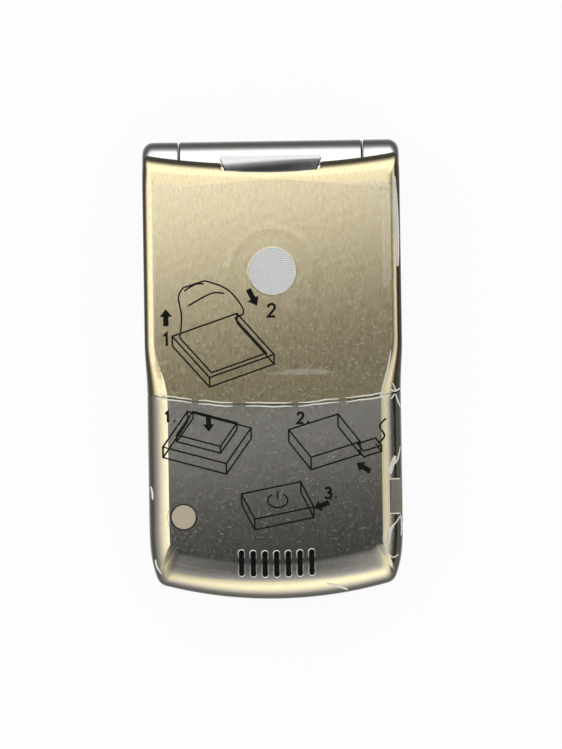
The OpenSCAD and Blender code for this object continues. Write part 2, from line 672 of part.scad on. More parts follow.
module door_latch() color("#7d7b7b") translate([0, 0, latch_z]) {
  linear_extrude(latch_t) polygon([
    [latch_slant - latch_w/2, latch_front_y - 0.5], [-latch_w/2, latch_back_y - 0.5],
    [-latch_w/2 + 0.5, latch_back_y], [latch_w/2 - 0.5, latch_back_y], [latch_w/2, latch_back_y - 0.5],
    [latch_w/2 - latch_slant, latch_front_y - 0.5]]);
  mid_block(latch_w - 4, spring_y, latch_front_y, 0.1, latch_t);
}

module latch_spring() color("silver") translate([0, spring_y, latch_z + 0.15]) linear_extrude(0.6)
  polygon([[-6, -0.3], [0, -1.2], [6, -0.3], [6, -0.02], [0, -0.9], [-6, -0.02]]);

// ---- Keys ----

module key_shape(k, grow, z0, h) translate([k[1], k[2], z0])
  plate(k[3] + 2*grow, k[4] + 2*grow, h, 1 + grow);
module flat_key(k) color("#b9bbbd") key_shape(k, 0, key_z, key_t);

module nav_ring() color("#a9abae") translate([0, ring_y, key_z]) difference() {
  cylinder(h = key_t, d = ring_d);
  translate([0, 0, -1]) cylinder(h = 3, d = inner_ring_d);
}

module select_key() color("#b9bbbd") translate([0, ring_y, key_z]) cylinder(h = key_t, d = select_d);

// ---- Display half ----

module flip_cover() color("#a5a7a9") difference() {
  loft(concat(
    [for (phi = [90:-30:0]) raised(flip_outline(flip_round_w*(1 - cos(phi))), flip_round_h*(1 - sin(phi)))],
    [raised(flip_outline(0), cover_t)]));
  translate([0, 0, face_t]) linear_extrude(cover_t) polygon(flip_outline(cover_wall));
  translate([0, outer_lens_y, -1]) plate(outer_lens_w - 1.4, outer_lens_l - 1.4, 3, 1.2);
  translate([0, outer_lens_y, -1]) plate(outer_lens_w + 0.1, outer_lens_l + 0.1, 1.15 + lens_t, 2);
  translate([0, camera_y, -1]) cylinder(h = 3, d = camera_d + 0.1);
  barrel_notch();
  knuckle_space(barrel_d + 2*run_gap);
}

module barrel_notch() mid_block(barrel_l + barrel_gap, front_end_y, body_l, -1, 2*body_t);

module flip_bezel() color("#8d8f92") difference() {
  union() {
    loft([raised(flip_outline(0), cover_t), raised(flip_outline(0), flip_t - 0.4),
          raised(flip_outline(0.4), flip_t)]);
    knuckles();
  }
  translate([0, 0, cover_t - 1]) linear_extrude(bezel_z - cover_t + 1) difference() {
    polygon(flip_outline(cover_wall));
    translate([-body_w, front_end_y - 2]) square([2*body_w, 20]);
  }
  translate([0, lens_y, 0]) plate(lens_w - 2.4, lens_l - 2.4, 2*flip_t, 1.5);
  translate([0, lens_y, flip_t - lens_t - 0.2]) plate(lens_w + 0.1, lens_l + 0.1, 2, 2.5);
  for (x = [-3:1.5:3]) translate([x, earpiece_y, bezel_z - 1]) cylinder(h = 3, d = 0.8);
  at_bumpers() cylinder(h = 2, d = 2.6);
  side_key_hole(1, rocker_y, rocker_l);
  side_key_hole(1, smart_y, side_key_l);
  side_key_hole(-1, rocker_y, side_key_l);
  barrel_notch();
  rod(shaft_d + 0.02, -shaft_end_x - 0.1, 0);
  rod(bush_d + 0.02, 0, bush_end_x + 0.2);
}

// Barrel ends of the display half, rounded at their outer edge
module knuckles() for (s = [0, 1]) mirror([s, 0, 0])
  translate([half_barrel + barrel_gap/2, axis_y, axis_z]) rotate([0, 90, 0])
    rotate_extrude() polygon(concat([[0, 0], [barrel_r, 0]],
      arc([barrel_r - knuckle_r, knuckle_l - knuckle_r], knuckle_r, 0, 90, 5), [[0, knuckle_l]]));

module side_key_hole(s, y, l) mirror([s < 0 ? 1 : 0, 0, 0])
  block(flip_w/2 - 2, body_w, y - l/2 - key_gap, y + l/2 + key_gap,
        side_key_z - key_gap - side_key_t/2, side_key_z + key_gap + side_key_t/2);

module side_key(s, y, l) color("#c3c5c7") mirror([s < 0 ? 1 : 0, 0, 0])
  block(flip_w/2 - 1.1, flip_w/2 + side_key_rise, y - l/2, y + l/2,
        side_key_z - side_key_t/2, side_key_z + side_key_t/2);

module outer_lens() color("#1b1d22") translate([0, outer_lens_y, 0.15])
  plate(outer_lens_w, outer_lens_l, lens_t, 2);
module outer_display() color("#3a4048") translate([0, outer_lens_y, face_t + 0.02])
  plate(outer_lens_w - 1, outer_lens_l + 2, 1.4, 0.5);
module camera_module() color("#17181a") translate([0, camera_y, face_t]) {
  cylinder(h = bezel_z - face_t - 0.05, d = camera_bore - 0.2);
  translate([0, 0, -0.5]) cylinder(h = 0.5, d = 5);
}
module camera_ring() color("silver") translate([0, camera_y, 0.1]) difference() {
  cylinder(h = face_t + 0.2, d = camera_d);
  translate([0, 0, -1]) cylinder(h = 3, d = camera_bore);
}
module flip_board() color("#2f5d3a") difference() {
  mid_block(flip_w - 9, earpiece_y + 4, front_end_y - 2.5, cover_t - 0.6, cover_t);
  translate([0, camera_y, 0]) cylinder(h = 8, d = camera_bore + 0.6);
}
module inner_display() color("#30343a") translate([0, lens_y, cover_t + 0.02])
  plate(lens_w + 2, lens_l + 2, bezel_z - cover_t - 0.05, 0.6);
module inner_lens() color("#15171b") translate([0, lens_y, flip_t - lens_t - 0.18])
  plate(lens_w, lens_l, lens_t, 2.5);
module earpiece() color("#2a2c30") translate([0, earpiece_y, cover_t - 0.5])
  plate(earpiece_w, earpiece_l, bezel_z - cover_t + 0.45, 1.5);

module at_bumpers() for (x = [4 - flip_w/2, flip_w/2 - 4], y = [flip_tip_y + 7, front_end_y - 3])
  translate([x, y, flip_t - bumper_t]) children();
module bumpers() color("#202225") at_bumpers() cylinder(h = bumper_t + fold_gap - 0.1, d = 2.5);

module hinge_shaft() color("#a7a9ac") rod(shaft_d, -shaft_end_x, shaft_in_x);
module hinge_bush() color("#a7a9ac") difference() {
  rod(bush_d, half_barrel - 6.8, bush_end_x);
  rod(bush_bore, 0, body_w);
}

rear_housing();
front_housing();
battery();
main_board();
shield_cans();
sim_socket();
dome_sheet();
keypad_web();
antenna();
loudspeaker();
speaker_mesh();
microphone();
rf_port_plug();
usb_socket();
vibration_motor();
hinge_cartridge();
display_flex();
housing_screws();
chin_film();
battery_door();
door_film();
badge();
door_latch();
latch_spring();
nav_ring();
select_key();
for (k = KEYS) flat_key(k);
flip_cover();
flip_bezel();
outer_lens();
outer_display();
camera_module();
camera_ring();
flip_board();
inner_display();
inner_lens();
earpiece();
bumpers();
hinge_shaft();
hinge_bush();
side_key(1, rocker_y, rocker_l);  // volume_rocker
side_key(1, smart_y, side_key_l);  // smart_key
side_key(-1, rocker_y, side_key_l);  // voice_key
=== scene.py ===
"""Looks of the closed flip phone: smooth skins, films, badge, latch, keys and screens round the CAD frame."""
import json
import math
import random

import bmesh
import bpy
from mathutils import Matrix, Vector
from mathutils.bvhtree import BVHTree


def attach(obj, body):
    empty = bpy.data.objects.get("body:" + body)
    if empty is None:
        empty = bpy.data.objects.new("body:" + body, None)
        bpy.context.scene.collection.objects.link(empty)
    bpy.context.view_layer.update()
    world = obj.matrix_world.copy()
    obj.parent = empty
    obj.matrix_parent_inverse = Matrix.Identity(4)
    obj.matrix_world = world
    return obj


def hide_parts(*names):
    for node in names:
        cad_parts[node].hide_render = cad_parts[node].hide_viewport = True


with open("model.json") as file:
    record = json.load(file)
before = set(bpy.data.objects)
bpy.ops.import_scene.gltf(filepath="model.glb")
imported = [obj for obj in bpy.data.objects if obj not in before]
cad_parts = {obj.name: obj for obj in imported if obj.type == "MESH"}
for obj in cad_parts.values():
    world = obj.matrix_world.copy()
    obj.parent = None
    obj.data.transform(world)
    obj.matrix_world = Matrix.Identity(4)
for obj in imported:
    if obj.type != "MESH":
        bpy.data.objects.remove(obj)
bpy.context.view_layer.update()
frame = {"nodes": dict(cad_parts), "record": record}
MM = 0.001

# ---------------------------------------------------------------- sizes, in millimetres, as in the CAD
BODY_W, BODY_L, CHIN_W = 54.0, 96.4, 53.3
TIP_Y = -BODY_L / 2
TIP_R, TIP_CY = 90.8, TIP_Y + 90.8
CORNER_R, CORNER_SET, FLAT_CORNER_R, END_CORNER_R = 2.7, 4.05, 2.2, 0.9
TOE_A = math.radians(20)
SEAM_R, SEAM_Y = 147.0, TIP_Y + 40.9
DOOR_SHOULDER, CHIN_SHOULDER = (2.1, 2.0), (4.3, 4.5)
TIP_ROUND_W = 8.0
END_ROUND_W, END_ROUND_H, END_L = 4.0, 4.4, 5.0
BOW_R, BOW_L = 169.0, 10.0
DOOR_FALL, CHIN_FALL = 0.5, 0.6
AXIS_Y, AXIS_Z = 43.45, 6.7
BARREL_R, HALF_BARREL, BARREL_GAP = 4.75, 19.3, 0.3
CLEAR_R = BARREL_R + BARREL_GAP
DOOR_END_Y = AXIS_Y + 0.25
BASE_Z, SPLIT_Z, SKIRT_Z, TUB_Z, BACK_TOP = 6.4, 8.0, 10.6, 11.6, 14.38
DOOR_SKIN, TUB_GAP, COVER_GAP = 0.7, 0.15, 0.12
WAIST_Y, WAIST_L = SEAM_Y + 3.3, 10.0
SWELL_Y, SWELL_L = SEAM_Y + 13.6, 12.6
TOE_Y = TIP_Y + 18.2
CORNER_X = CHIN_W / 2 - CORNER_SET
CORNER_CY = TIP_CY - math.sqrt((TIP_R - CORNER_R) ** 2 - CORNER_X ** 2)
TOE_END_Y = CORNER_CY - CORNER_R * math.sin(TOE_A)
TOE_IN = CHIN_W / 2 - CORNER_X - CORNER_R * math.cos(TOE_A)
LATCH_W, LATCH_SLANT, LATCH_Z, LATCH_T = 21.4, 1.5, 11.75, 0.85
LATCH_BACK_Y, LATCH_FRONT_Y = DOOR_END_Y + 0.9, DOOR_END_Y - 2.4
NOTCH_X = LATCH_W / 2 - LATCH_SLANT * (1 - 1.8 / 3.3) + 0.15
BADGE_Y, BADGE_R = AXIS_Y - 22.8, 5.05
PLUG_X, PLUG_Y, PLUG_R = 7.35 - CHIN_W / 2, TIP_Y + 17.6, 2.6
SLOT_PITCH, SLOT_W, SLOT_L, SLOT_Y, SLOT_RISE = 2.45, 1.04, 5.3, TIP_Y + 7.5, 0.28
PORT_X, PORT_Y, PORT_W = CHIN_W / 2 - 2.6, TIP_Y + 21.3, 7.0
CAVITY_TOP = BACK_TOP - 1.6
FLIP_TIP_Y = TIP_Y + 16.6
FAR, ABOVE = 60.0, 20.0  # reach of a cut that leaves the part sideways, and of one that leaves it at the top


# ---------------------------------------------------------------- outlines and skins
def ease(t):
    u = min(1.0, max(0.0, t))
    return u * u * (3 - 2 * u)


def between(a, b, t):
    return a + (b - a) * t


def side_x(y):
    toe = max(0.0, (TOE_Y - y) / (TOE_Y - TOE_END_Y))
    return between(CHIN_W / 2, BODY_W / 2, ease((y - WAIST_Y) / WAIST_L)) - TOE_IN * toe ** 3.5


def swell(y):
    return ease((SWELL_Y - y) / SWELL_L)


def shoulder_w(y):
    return between(DOOR_SHOULDER[0], CHIN_SHOULDER[0], swell(y))


def shoulder_h(y):
    end = (END_ROUND_H - DOOR_SHOULDER[1]) * ease((y - DOOR_END_Y) / END_L + 1)
    return between(DOOR_SHOULDER[1], CHIN_SHOULDER[1], swell(y)) + end


def back_z(y):
    if y > SEAM_Y:
        return BACK_TOP - DOOR_FALL * ((y - SEAM_Y) / (DOOR_END_Y - SEAM_Y)) ** 2
    return BACK_TOP - CHIN_FALL * ((SEAM_Y - y) / (SEAM_Y - TIP_Y)) ** 2


def seam_at(x):
    return SEAM_Y + SEAM_R - math.sqrt(SEAM_R ** 2 - x * x)


def arc(centre, r, start, end, n, skip=0):
    return [(centre[0] + r * math.cos(start + (end - start) * i / n),
             centre[1] + r * math.sin(start + (end - start) * i / n)) for i in range(skip, n + 1)]


def oval(x, y, rx, ry, n):
    return [(x + rx * math.cos(math.tau * i / n), y + ry * math.sin(math.tau * i / n)) for i in range(n)]


def closed(half):
    return half + [(-x, y) for x, y in reversed(half[1:])]


def mirrored(points):
    return points + [(-x, y) for x, y in reversed(points) if abs(x) > 1e-9]


def shifted(points, x, y):
    return [(px + x, py + y) for px, py in points]


def raised(points, z):
    return [(x, y, z) for x, y in points]


SIDE_STEPS, BUNCHING = 70, 1.4  # points along a side, and how far they crowd towards the chin


def half_outline(inset, k=0.0, ends=0):
    """Half outline of the keypad half, from the tip of the chin to the door's hinge end."""
    r = max(0.6, CORNER_R - inset) if k == 0 else FLAT_CORNER_R
    tip = TIP_R - inset - k * TIP_ROUND_W
    cx = CORNER_X + (CORNER_R - r) * math.cos(TOE_A) - inset - k * CHIN_SHOULDER[0]
    cy = TIP_CY - math.sqrt((tip - r) ** 2 - cx * cx)
    a = math.atan2(cy - TIP_CY, cx)
    y0 = cy - r * math.sin(TOE_A)
    y1 = DOOR_END_Y - inset - k * END_ROUND_W - END_CORNER_R
    x1 = side_x(y1) - inset - k * shoulder_w(y1) - END_CORNER_R
    side = []
    for i in range(1, SIDE_STEPS + 1):
        y = between(y0, y1, (i / SIDE_STEPS) ** BUNCHING)
        side.append((side_x(y) - inset - k * shoulder_w(y), y))
    return (arc((0, TIP_CY), tip, -math.pi / 2, a, 24) + arc((cx, cy), r, a, -TOE_A, 14, 1) + side
            + arc((x1, y1), END_CORNER_R, 0, math.pi / 2, 8, 1)
            + [(x1 * i / (ends + 1), y1 + END_CORNER_R) for i in range(ends, 0, -1)])


def rounded_box(w, l, r, n=8):
    out = []
    for qx, qy, q in ((1, 1, 0), (-1, 1, 1), (-1, -1, 2), (1, -1, 3)):
        out += arc((qx * (w / 2 - r), qy * (l / 2 - r)), r, q * math.pi / 2, (q + 1) * math.pi / 2, n)
    return out


# ---------------------------------------------------------------- mesh helpers, working in millimetres
def new_object(name, verts, faces):
    mesh = bpy.data.meshes.new(name)
    mesh.from_pydata(verts, [], faces)
    bm = bmesh.new()
    bm.from_mesh(mesh)
    bmesh.ops.recalc_face_normals(bm, faces=bm.faces)
    bm.to_mesh(mesh)
    bm.free()
    obj = bpy.data.objects.new(name, mesh)
    bpy.context.scene.collection.objects.link(obj)
    return obj


def merged(name, parts):
    """One object from several lots of vertices and faces."""
    verts, faces = [], []
    for part_verts, part_faces in parts:
        start = len(verts)
        verts += part_verts
        faces += [tuple(start + i for i in f) for f in part_faces]
    return new_object(name, verts, faces)


def bands(rings, n, around=False):
    """Faces between rings of n points each, and from the last ring back to the first if around is set."""
    faces = []
    for j in range(rings if around else rings - 1):
        a, b = j * n, (j + 1) % rings * n
        faces += [(a + i, a + (i + 1) % n, b + (i + 1) % n, b + i) for i in range(n)]
    return faces


def fans(verts, faces, n, rings, centres):
    """Closes the first and the last ring, each round its centre."""
    for ring, centre in zip((0, rings - 1), centres):
        verts.append(centre)
        faces += [(ring * n + i, ring * n + (i + 1) % n, len(verts) - 1) for i in range(n)]


def slab_parts(low, high):
    n = len(low)
    return low + high, [tuple(range(n)), tuple(range(n, 2 * n))] + bands(2, n)


HOLLOW_SKIP = 9  # points beside a hollow end that its fans leave out, so that none of their triangles is flat


def loft(name, rings, strips=True, ends=0):
    """Closed skin through rings of equal length. The end caps are strips across the part, or one face.

    A hollow end edge, with so many points in each half, is filled from the sides.
    """
    n = len(rings[0])
    cap = [tuple(range(n))]
    if strips:
        m = (n - 1) // 2
        s = m - ends - HOLLOW_SKIP if ends else m
        cap = [(0, 1, n - 1)] + [(i, i + 1, n - i - 1, n - i) for i in range(1, s)]
        if ends:
            for i in range(s + 1, m):
                cap += [(s, i, i + 1), (n - s, n - i - 1, n - i)]
            cap += [(s, m, m + 1, n - s)]
    last = n * (len(rings) - 1)
    caps = [tuple(reversed(f)) for f in cap] + [tuple(last + i for i in f) for f in cap]
    return new_object(name, [tuple(p) for ring in rings for p in ring], bands(len(rings), n) + caps)


def prism(name, points, z0, z1):
    return loft(name, [raised(points, z0), raised(points, z1)], strips=False)


def block(name, x0, x1, y0, y1, z0, z1):
    return prism(name, [(x0, y0), (x1, y0), (x1, y1), (x0, y1)], z0, z1)


def mid_block(w, y0, y1, z0, z1):
    return block("room", -w / 2, w / 2, y0, y1, z0, z1)


def window(x, y, w, l, r, z0, z1, n=8):
    """Block with rounded corners, for a hole through a wall."""
    return prism("window", shifted(rounded_box(w, l, r, n), x, y), z0, z1)


def disc(name, x, y, r, z0, z1, n=96):
    return prism(name, arc((x, y), r, 0, math.tau * (n - 1) / n, n - 1), z0, z1)


def turned(name, profile, x_sign=1, n=128):
    """Solid turned about the hinge axis from (x, r) points that start and end on the axis."""
    verts = [(x_sign * x, AXIS_Y + py, AXIS_Z + pz) for x, r in profile[1:-1]
             for py, pz in oval(0, 0, r, r, n)]
    faces = bands(len(profile) - 2, n)
    fans(verts, faces, n, len(profile) - 2, [(x_sign * profile[i][0], AXIS_Y, AXIS_Z) for i in (0, -1)])
    return new_object(name, verts, faces)


def axis_rod(r, x0, x1):
    return turned("rod", [(x0, 0), (x0, r), (x1, r), (x1, 0)])


def spun(name, x, y, profile, n=96, hole=False):
    """Solid, or ring with a hole, of revolution about the vertical at a place, from (radius, z) points."""
    verts = [p for r, z in profile for p in raised(oval(x, y, r, r, n), z)]
    faces = bands(len(profile), n, hole)
    if not hole:
        fans(verts, faces, n, len(profile), [(x, y, profile[i][1]) for i in (0, -1)])
    return new_object(name, verts, faces)


def ring_solid(name, x, y, r, profile):
    """Ring from a closed loop of (inset, z) points inside a radius."""
    return spun(name, x, y, [(r - inset, z) for inset, z in profile], 128, True)


def bake(obj):
    """Applies the object's modifiers."""
    bpy.context.view_layer.update()
    graph = bpy.context.evaluated_depsgraph_get()
    mesh = bpy.data.meshes.new_from_object(obj.evaluated_get(graph))
    obj.modifiers.clear()
    obj.data = mesh


def combine(obj, tools, operation="DIFFERENCE"):
    """Cuts, adds or intersects with each tool, then deletes the tools."""
    for tool in tools:
        mod = obj.modifiers.new("step", "BOOLEAN")
        mod.operation = operation
        mod.solver = "EXACT"
        mod.object = tool
    bake(obj)
    for tool in tools:
        bpy.data.objects.remove(tool)
    return obj


def soften(obj, width, angle=50):
    mod = obj.modifiers.new("edge", "BEVEL")
    mod.width = width
    mod.segments = 2
    mod.limit_method = "ANGLE"
    mod.angle_limit = math.radians(angle)
    mod.use_clamp_overlap = True
    bake(obj)
    return obj


def done(obj, body, material, replaced=(), angle=32):
    """Scales the finished piece to metres, shades it, and puts it on its body."""
    obj.data.transform(Matrix.Scale(MM, 4))
    obj.data.materials.clear()
    obj.data.materials.append(material)
    for polygon in obj.data.polygons:
        polygon.use_smooth = True
    obj.data.set_sharp_from_angle(angle=math.radians(angle))
    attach(obj, body)
    if replaced:
        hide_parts(*replaced)
    return obj


def flat_normals(obj):
    """Shades the level faces flat, whatever rounding runs along their edges."""
    mesh = obj.data
    normals = [corner.vector.copy() for corner in mesh.corner_normals]
    for polygon in mesh.polygons:
        if abs(polygon.normal.z) > 0.9999:
            for loop in polygon.loop_indices:
                normals[loop] = polygon.normal.copy()
    mesh.normals_split_custom_set(normals)


def true_normals(obj):
    """Shades the flat of the back by its exact slope, whatever faces the cuts have left there."""
    mesh = obj.data
    normals = [corner.vector.copy() for corner in mesh.corner_normals]
    flat_r = TIP_R - TIP_ROUND_W
    for polygon in mesh.polygons:
        if polygon.normal.z < 0.6:
            continue
        middle = polygon.center / MM
        for loop in polygon.loop_indices:
            x, y, z = mesh.vertices[mesh.loops[loop].vertex_index].co / MM
            plain_y = y - bow(x, y - bow(x, y))
            if abs(z - back_z(y)) > 0.004 or abs(x) > side_x(y) - shoulder_w(y) + 0.02:
                continue
            if plain_y > DOOR_END_Y - END_ROUND_W or math.hypot(x, y - TIP_CY) > flat_r + 0.02:
                continue
            slope = (back_z(y - 0.05) - back_z(y + 0.05)) / 0.1
            lean = 0.0
            if abs(middle.x) > side_x(y) - shoulder_w(y) + 0.001:
                lean = math.copysign(crease(y) * shoulder_h(y) / shoulder_w(y), x)
            elif middle.y < y and math.hypot(middle.x, middle.y - TIP_CY) > flat_r:
                continue
            normals[loop] = Vector((lean, slope, 1)).normalized()
    mesh.normals_split_custom_set(normals)


# ---------------------------------------------------------------- materials
def node_material(name):
    material = bpy.data.materials.new(name)
    material.use_nodes = True
    return material, material.node_tree, material.node_tree.nodes["Principled BSDF"]


def fill(tree, node, inputs):
    """Sets a node's inputs. Each takes a plain value, or another node's output, which is linked to it."""
    for key, value in inputs.items():
        if isinstance(value, bpy.types.NodeSocket):
            tree.links.new(value, node.inputs[key])
        else:
            node.inputs[key].default_value = value


def add(tree, kind, inputs=None, **props):
    node = tree.nodes.new("ShaderNode" + kind)
    for key, value in props.items():
        setattr(node, key, value)
    fill(tree, node, inputs or {})
    return node


def calc(tree, operation, *values):
    return add(tree, "Math", dict(enumerate(values)), operation=operation).outputs["Value"]


def mixed(tree, blend, factor, a, b):
    return add(tree, "Mix", {"Factor": factor, 6: a, 7: b}, data_type="RGBA", blend_type=blend).outputs[2]


def shader_mix(tree, share, a, b):
    return add(tree, "MixShader", {"Fac": share, 1: a.outputs[0], 2: b.outputs[0]})


def ramp(tree, fac, stops):
    """Colour ramp through (place, colour) stops, where a single number is a grey."""
    node = add(tree, "ValToRGB", {"Fac": fac})
    elements = node.color_ramp.elements
    while len(elements) < len(stops):
        elements.new(0.5)
    for element, (position, colour) in zip(elements, stops):
        element.position = position
        element.color = (*(colour if isinstance(colour, tuple) else (colour,) * 3), 1.0)
    return node.outputs["Color"]


def scaled_noise(tree, scale, detail=3.0, roughness=0.6):
    place = add(tree, "Mapping", {"Vector": add(tree, "TexCoord").outputs["Object"], "Scale": scale})
    return add(tree, "TexNoise", {"Vector": place.outputs["Vector"], "Scale": 1.0, "Detail": detail,
                                  "Roughness": roughness}).outputs["Fac"]


def bump(tree, height, strength, distance):
    return add(tree, "Bump", {"Strength": strength, "Distance": distance, "Height": height}).outputs["Normal"]


def tone(colour, k):
    return tuple(min(1.0, c * k) for c in colour)


def streaked(tree, noise, colour, spread):
    return ramp(tree, noise, [(0.3, tone(colour, 1 - spread)), (0.7, tone(colour, 1 + spread))])


def metal(name, colour, rough=0.22, streak=(9000.0, 200.0, 9000.0), strength=0.1, spread=0.03, rim=None):
    """Brushed or satin metal, with optional painted shade and highlight: a ramp over the slope of the surface
    darkens or lightens its colour.
    """
    material, tree, shader = node_material(name)
    streaks = scaled_noise(tree, streak, 4.0)
    base = streaked(tree, streaks, colour, spread)
    # painted shade and highlight: the rim ramp darkens sides turned away from the top and lightens slopes that
    # face the tip
    if rim is not None:
        split = add(tree, "SeparateXYZ", {"Vector": add(tree, "TexCoord").outputs["Normal"]}).outputs
        painted_slope = calc(tree, "MULTIPLY_ADD", calc(tree, "MINIMUM", split["Y"], 0.0), TIP_PAINTED_LIGHT, split["Z"])
        base = mixed(tree, "MULTIPLY", 1.0, base, ramp(tree, painted_slope, rim))
    worn = add(tree, "MapRange", {"Value": streaks, "From Min": 0.3, "From Max": 0.7, "To Min": rough - 0.015,
                                  "To Max": rough + 0.015})
    fill(tree, shader, {"Metallic": 1.0, "Base Color": base, "Roughness": worn.outputs["Result"],
                        "Normal": bump(tree, streaks, strength, 0.000005)})
    return material


def plastic(name, colour, rough=0.4, grain=9000.0, strength=0.08, spread=0.12, coat=0.0, specular=0.5):
    material, tree, shader = node_material(name)
    speckle = scaled_noise(tree, (grain, grain, grain))
    fill(tree, shader, {"Base Color": streaked(tree, speckle, colour, spread), "Roughness": rough,
                        "Coat Weight": coat, "Coat Roughness": 0.05, "Specular IOR Level": specular,
                        "Normal": bump(tree, speckle, strength, 0.00002)})
    return material


def clear_film(name, haze=0.02, gloss=0.5, wrinkle=0.25, glint_paint=0.0):
    """Clear thin film: see-through, with a fine haze, gloss and small bubbles, and, when asked, a pale diffuse
    share that paints white glints on creases.
    """
    material, tree, shader = node_material(name)
    tree.nodes.remove(shader)
    lumps = add(tree, "MapRange", {"Value": scaled_noise(tree, (1500.0, 1500.0, 1500.0), 2.0, 0.5),
                                   "From Min": 0.6, "From Max": 0.75})
    relief = bump(tree, lumps.outputs["Result"], wrinkle, 0.00008)
    facing = add(tree, "Fresnel", {"IOR": 1.46, "Normal": relief})
    share = calc(tree, "ADD", calc(tree, "MULTIPLY", facing.outputs["Fac"], gloss), haze)
    clear = add(tree, "BsdfTransparent", {"Color": (1, 1, 1, 1)})
    shine = add(tree, "BsdfGlossy", {"Color": (1, 1, 1, 1), "Roughness": 0.06, "Normal": relief})
    surface = shader_mix(tree, share, clear, shine)
    # painted highlight: a pale diffuse share that makes folds read as white glints
    if glint_paint:
        surface = shader_mix(tree, glint_paint, surface, add(tree, "BsdfDiffuse", {"Color": (0.97, 0.94, 0.82, 1)}))
    fill(tree, tree.nodes["Material Output"], {"Surface": surface.outputs["Shader"]})
    return material


# Painted shade and highlight by the slope of the surface, as colour multipliers: 0.2 is nearly upright, 1 is
# level
SHOULDER_PAINTED_SHADE = [(0.2, 0.035), (0.6, 0.045), (0.725, 0.075), (0.766, 0.16), (0.809, 0.36), (0.843, 0.6),
                (0.88, 0.87), (0.91, 1.0), (0.985, 1.0), (0.999, 0.75)]
PAINTED_WARM_HIGHLIGHT, PAINTED_COOL_LEVEL = (1.0, 0.97, 0.77), (0.72, 0.75, 0.8)
CHIN_PAINTED_SHADE_AND_HIGHLIGHT = [(0.2, 0.05), (0.6, 0.065), (0.725, 0.13), (0.766, 0.2), (0.809, 0.25), (0.843, 0.34), (0.88, 0.5),
            (0.915, tone(PAINTED_WARM_HIGHLIGHT, 0.74)), (0.95, tone(PAINTED_WARM_HIGHLIGHT, 0.94)), (0.985, PAINTED_WARM_HIGHLIGHT), (0.999, PAINTED_COOL_LEVEL)]
BARREL_PAINTED_SHADE_AND_HIGHLIGHT = [(0.2, 0.16), (0.454, 0.07), (0.6, 0.09), (0.656, 0.13), (0.707, 0.19), (0.743, 0.28),
              (0.78, 0.45), (0.82, 0.82), (0.85, 1.0)]
TIP_PAINTED_LIGHT = -0.15  # painted light: brightens the colour of slopes that face the tip
GRAIN, FINE = (3600.0, 700.0, 3600.0), (700.0, 700.0, 700.0)
# These three metals carry painted shade on their shoulders and sides; the chin's and barrel's ramps also paint
# bright and warm highlight bands.
GOLD = metal("gold_brushed", (0.95, 0.79, 0.49), rough=0.12, streak=GRAIN, spread=0.12, rim=SHOULDER_PAINTED_SHADE)
CHIN_METAL = metal("chin_brushed", (0.92, 0.85, 0.7), rough=0.12, streak=GRAIN, spread=0.08, rim=CHIN_PAINTED_SHADE_AND_HIGHLIGHT)
HINGE = metal("hinge_satin", (0.86, 0.85, 0.83), rough=0.14, streak=FINE, strength=0.05, rim=BARREL_PAINTED_SHADE_AND_HIGHLIGHT)
SHELL = metal("front_satin", (0.36, 0.35, 0.33), rough=0.34, streak=(6000.0, 6000.0, 6000.0), spread=0.05)
SILVER = metal("badge_silver", (0.77, 0.78, 0.77), rough=0.3, streak=(2600.0, 5200.0, 2600.0), strength=0.3,
               spread=0.16)
STEEL = metal("steel_satin", (0.62, 0.62, 0.63), rough=0.3)
KEY = metal("key_satin", (0.66, 0.67, 0.68), rough=0.32, streak=(5000.0, 150.0, 5000.0))
RIM = metal("polished_rim", (0.9, 0.88, 0.83), rough=0.18, strength=0.03)
LATCH = metal("latch_satin", (0.66, 0.66, 0.67), rough=0.14, streak=FINE, strength=0.05)
DARK = plastic("dark_matt", (0.012, 0.012, 0.013), rough=0.7, specular=0.2)
LENS = plastic("black_gloss", (0.008, 0.008, 0.01), rough=0.05, spread=0.05, strength=0.0, coat=1.0)
INK = plastic("print_ink", (0.006, 0.006, 0.006), rough=0.7, specular=0.1)
LEGEND = plastic("legend_ink", (0.05, 0.05, 0.06), rough=0.5)
TAN = plastic("plug_rubber", (0.47, 0.405, 0.3), rough=0.5, grain=4000.0, strength=0.15)
PORT = plastic("port_grey", (0.2, 0.18, 0.14), rough=0.38, grain=4000.0)
# painted highlight: pale warm colour for the line along the shoulder's edge round the port
PORT_EDGE_HIGHLIGHT = plastic("port_edge_highlight", (0.9, 0.86, 0.64), rough=0.35, grain=4000.0)
BOARD = plastic("solder_resist", (0.05, 0.16, 0.08), rough=0.35, grain=2500.0, spread=0.3, coat=0.3)
BATTERY = plastic("battery_wrap", (0.09, 0.09, 0.11), rough=0.35, grain=1500.0)
RUBBER = plastic("black_rubber", (0.03, 0.03, 0.03), rough=0.7)
WEB = plastic("web_rubber", (0.7, 0.68, 0.63), rough=0.5)
FLEX = plastic("flex_amber", (0.55, 0.28, 0.05), rough=0.25, coat=0.5)
FILM = clear_film("film_clear")
FILM_GLINT = clear_film("film_glint", haze=0.35, gloss=0.9, wrinkle=0.9, glint_paint=0.6)
FILM_SPECK = clear_film("film_speck", haze=0.14, gloss=0.9, wrinkle=0.9)

SLOT_LOOK = {
    "gold_door": GOLD, "smoke_shell": CHIN_METAL, "front_shell": SHELL, "hinge_metal": HINGE, "film": FILM,
    "badge_metal": SILVER, "latch_grey": LATCH, "dark_plastic": DARK, "black_lens": LENS, "key_metal": KEY,
    "steel": STEEL, "board_green": BOARD, "battery_wrap": BATTERY, "rubber_black": RUBBER,
    "web_rubber": WEB, "plug_tan": TAN, "port_grey": PORT, "flex_amber": FLEX}
for part in frame["record"]["subparts"]:
    carried = frame["nodes"][part["node"]]
    look = SLOT_LOOK[part["material_slot"]]
    if carried.material_slots:
        for place in carried.material_slots:
            place.material = look
    else:
        carried.data.materials.append(look)

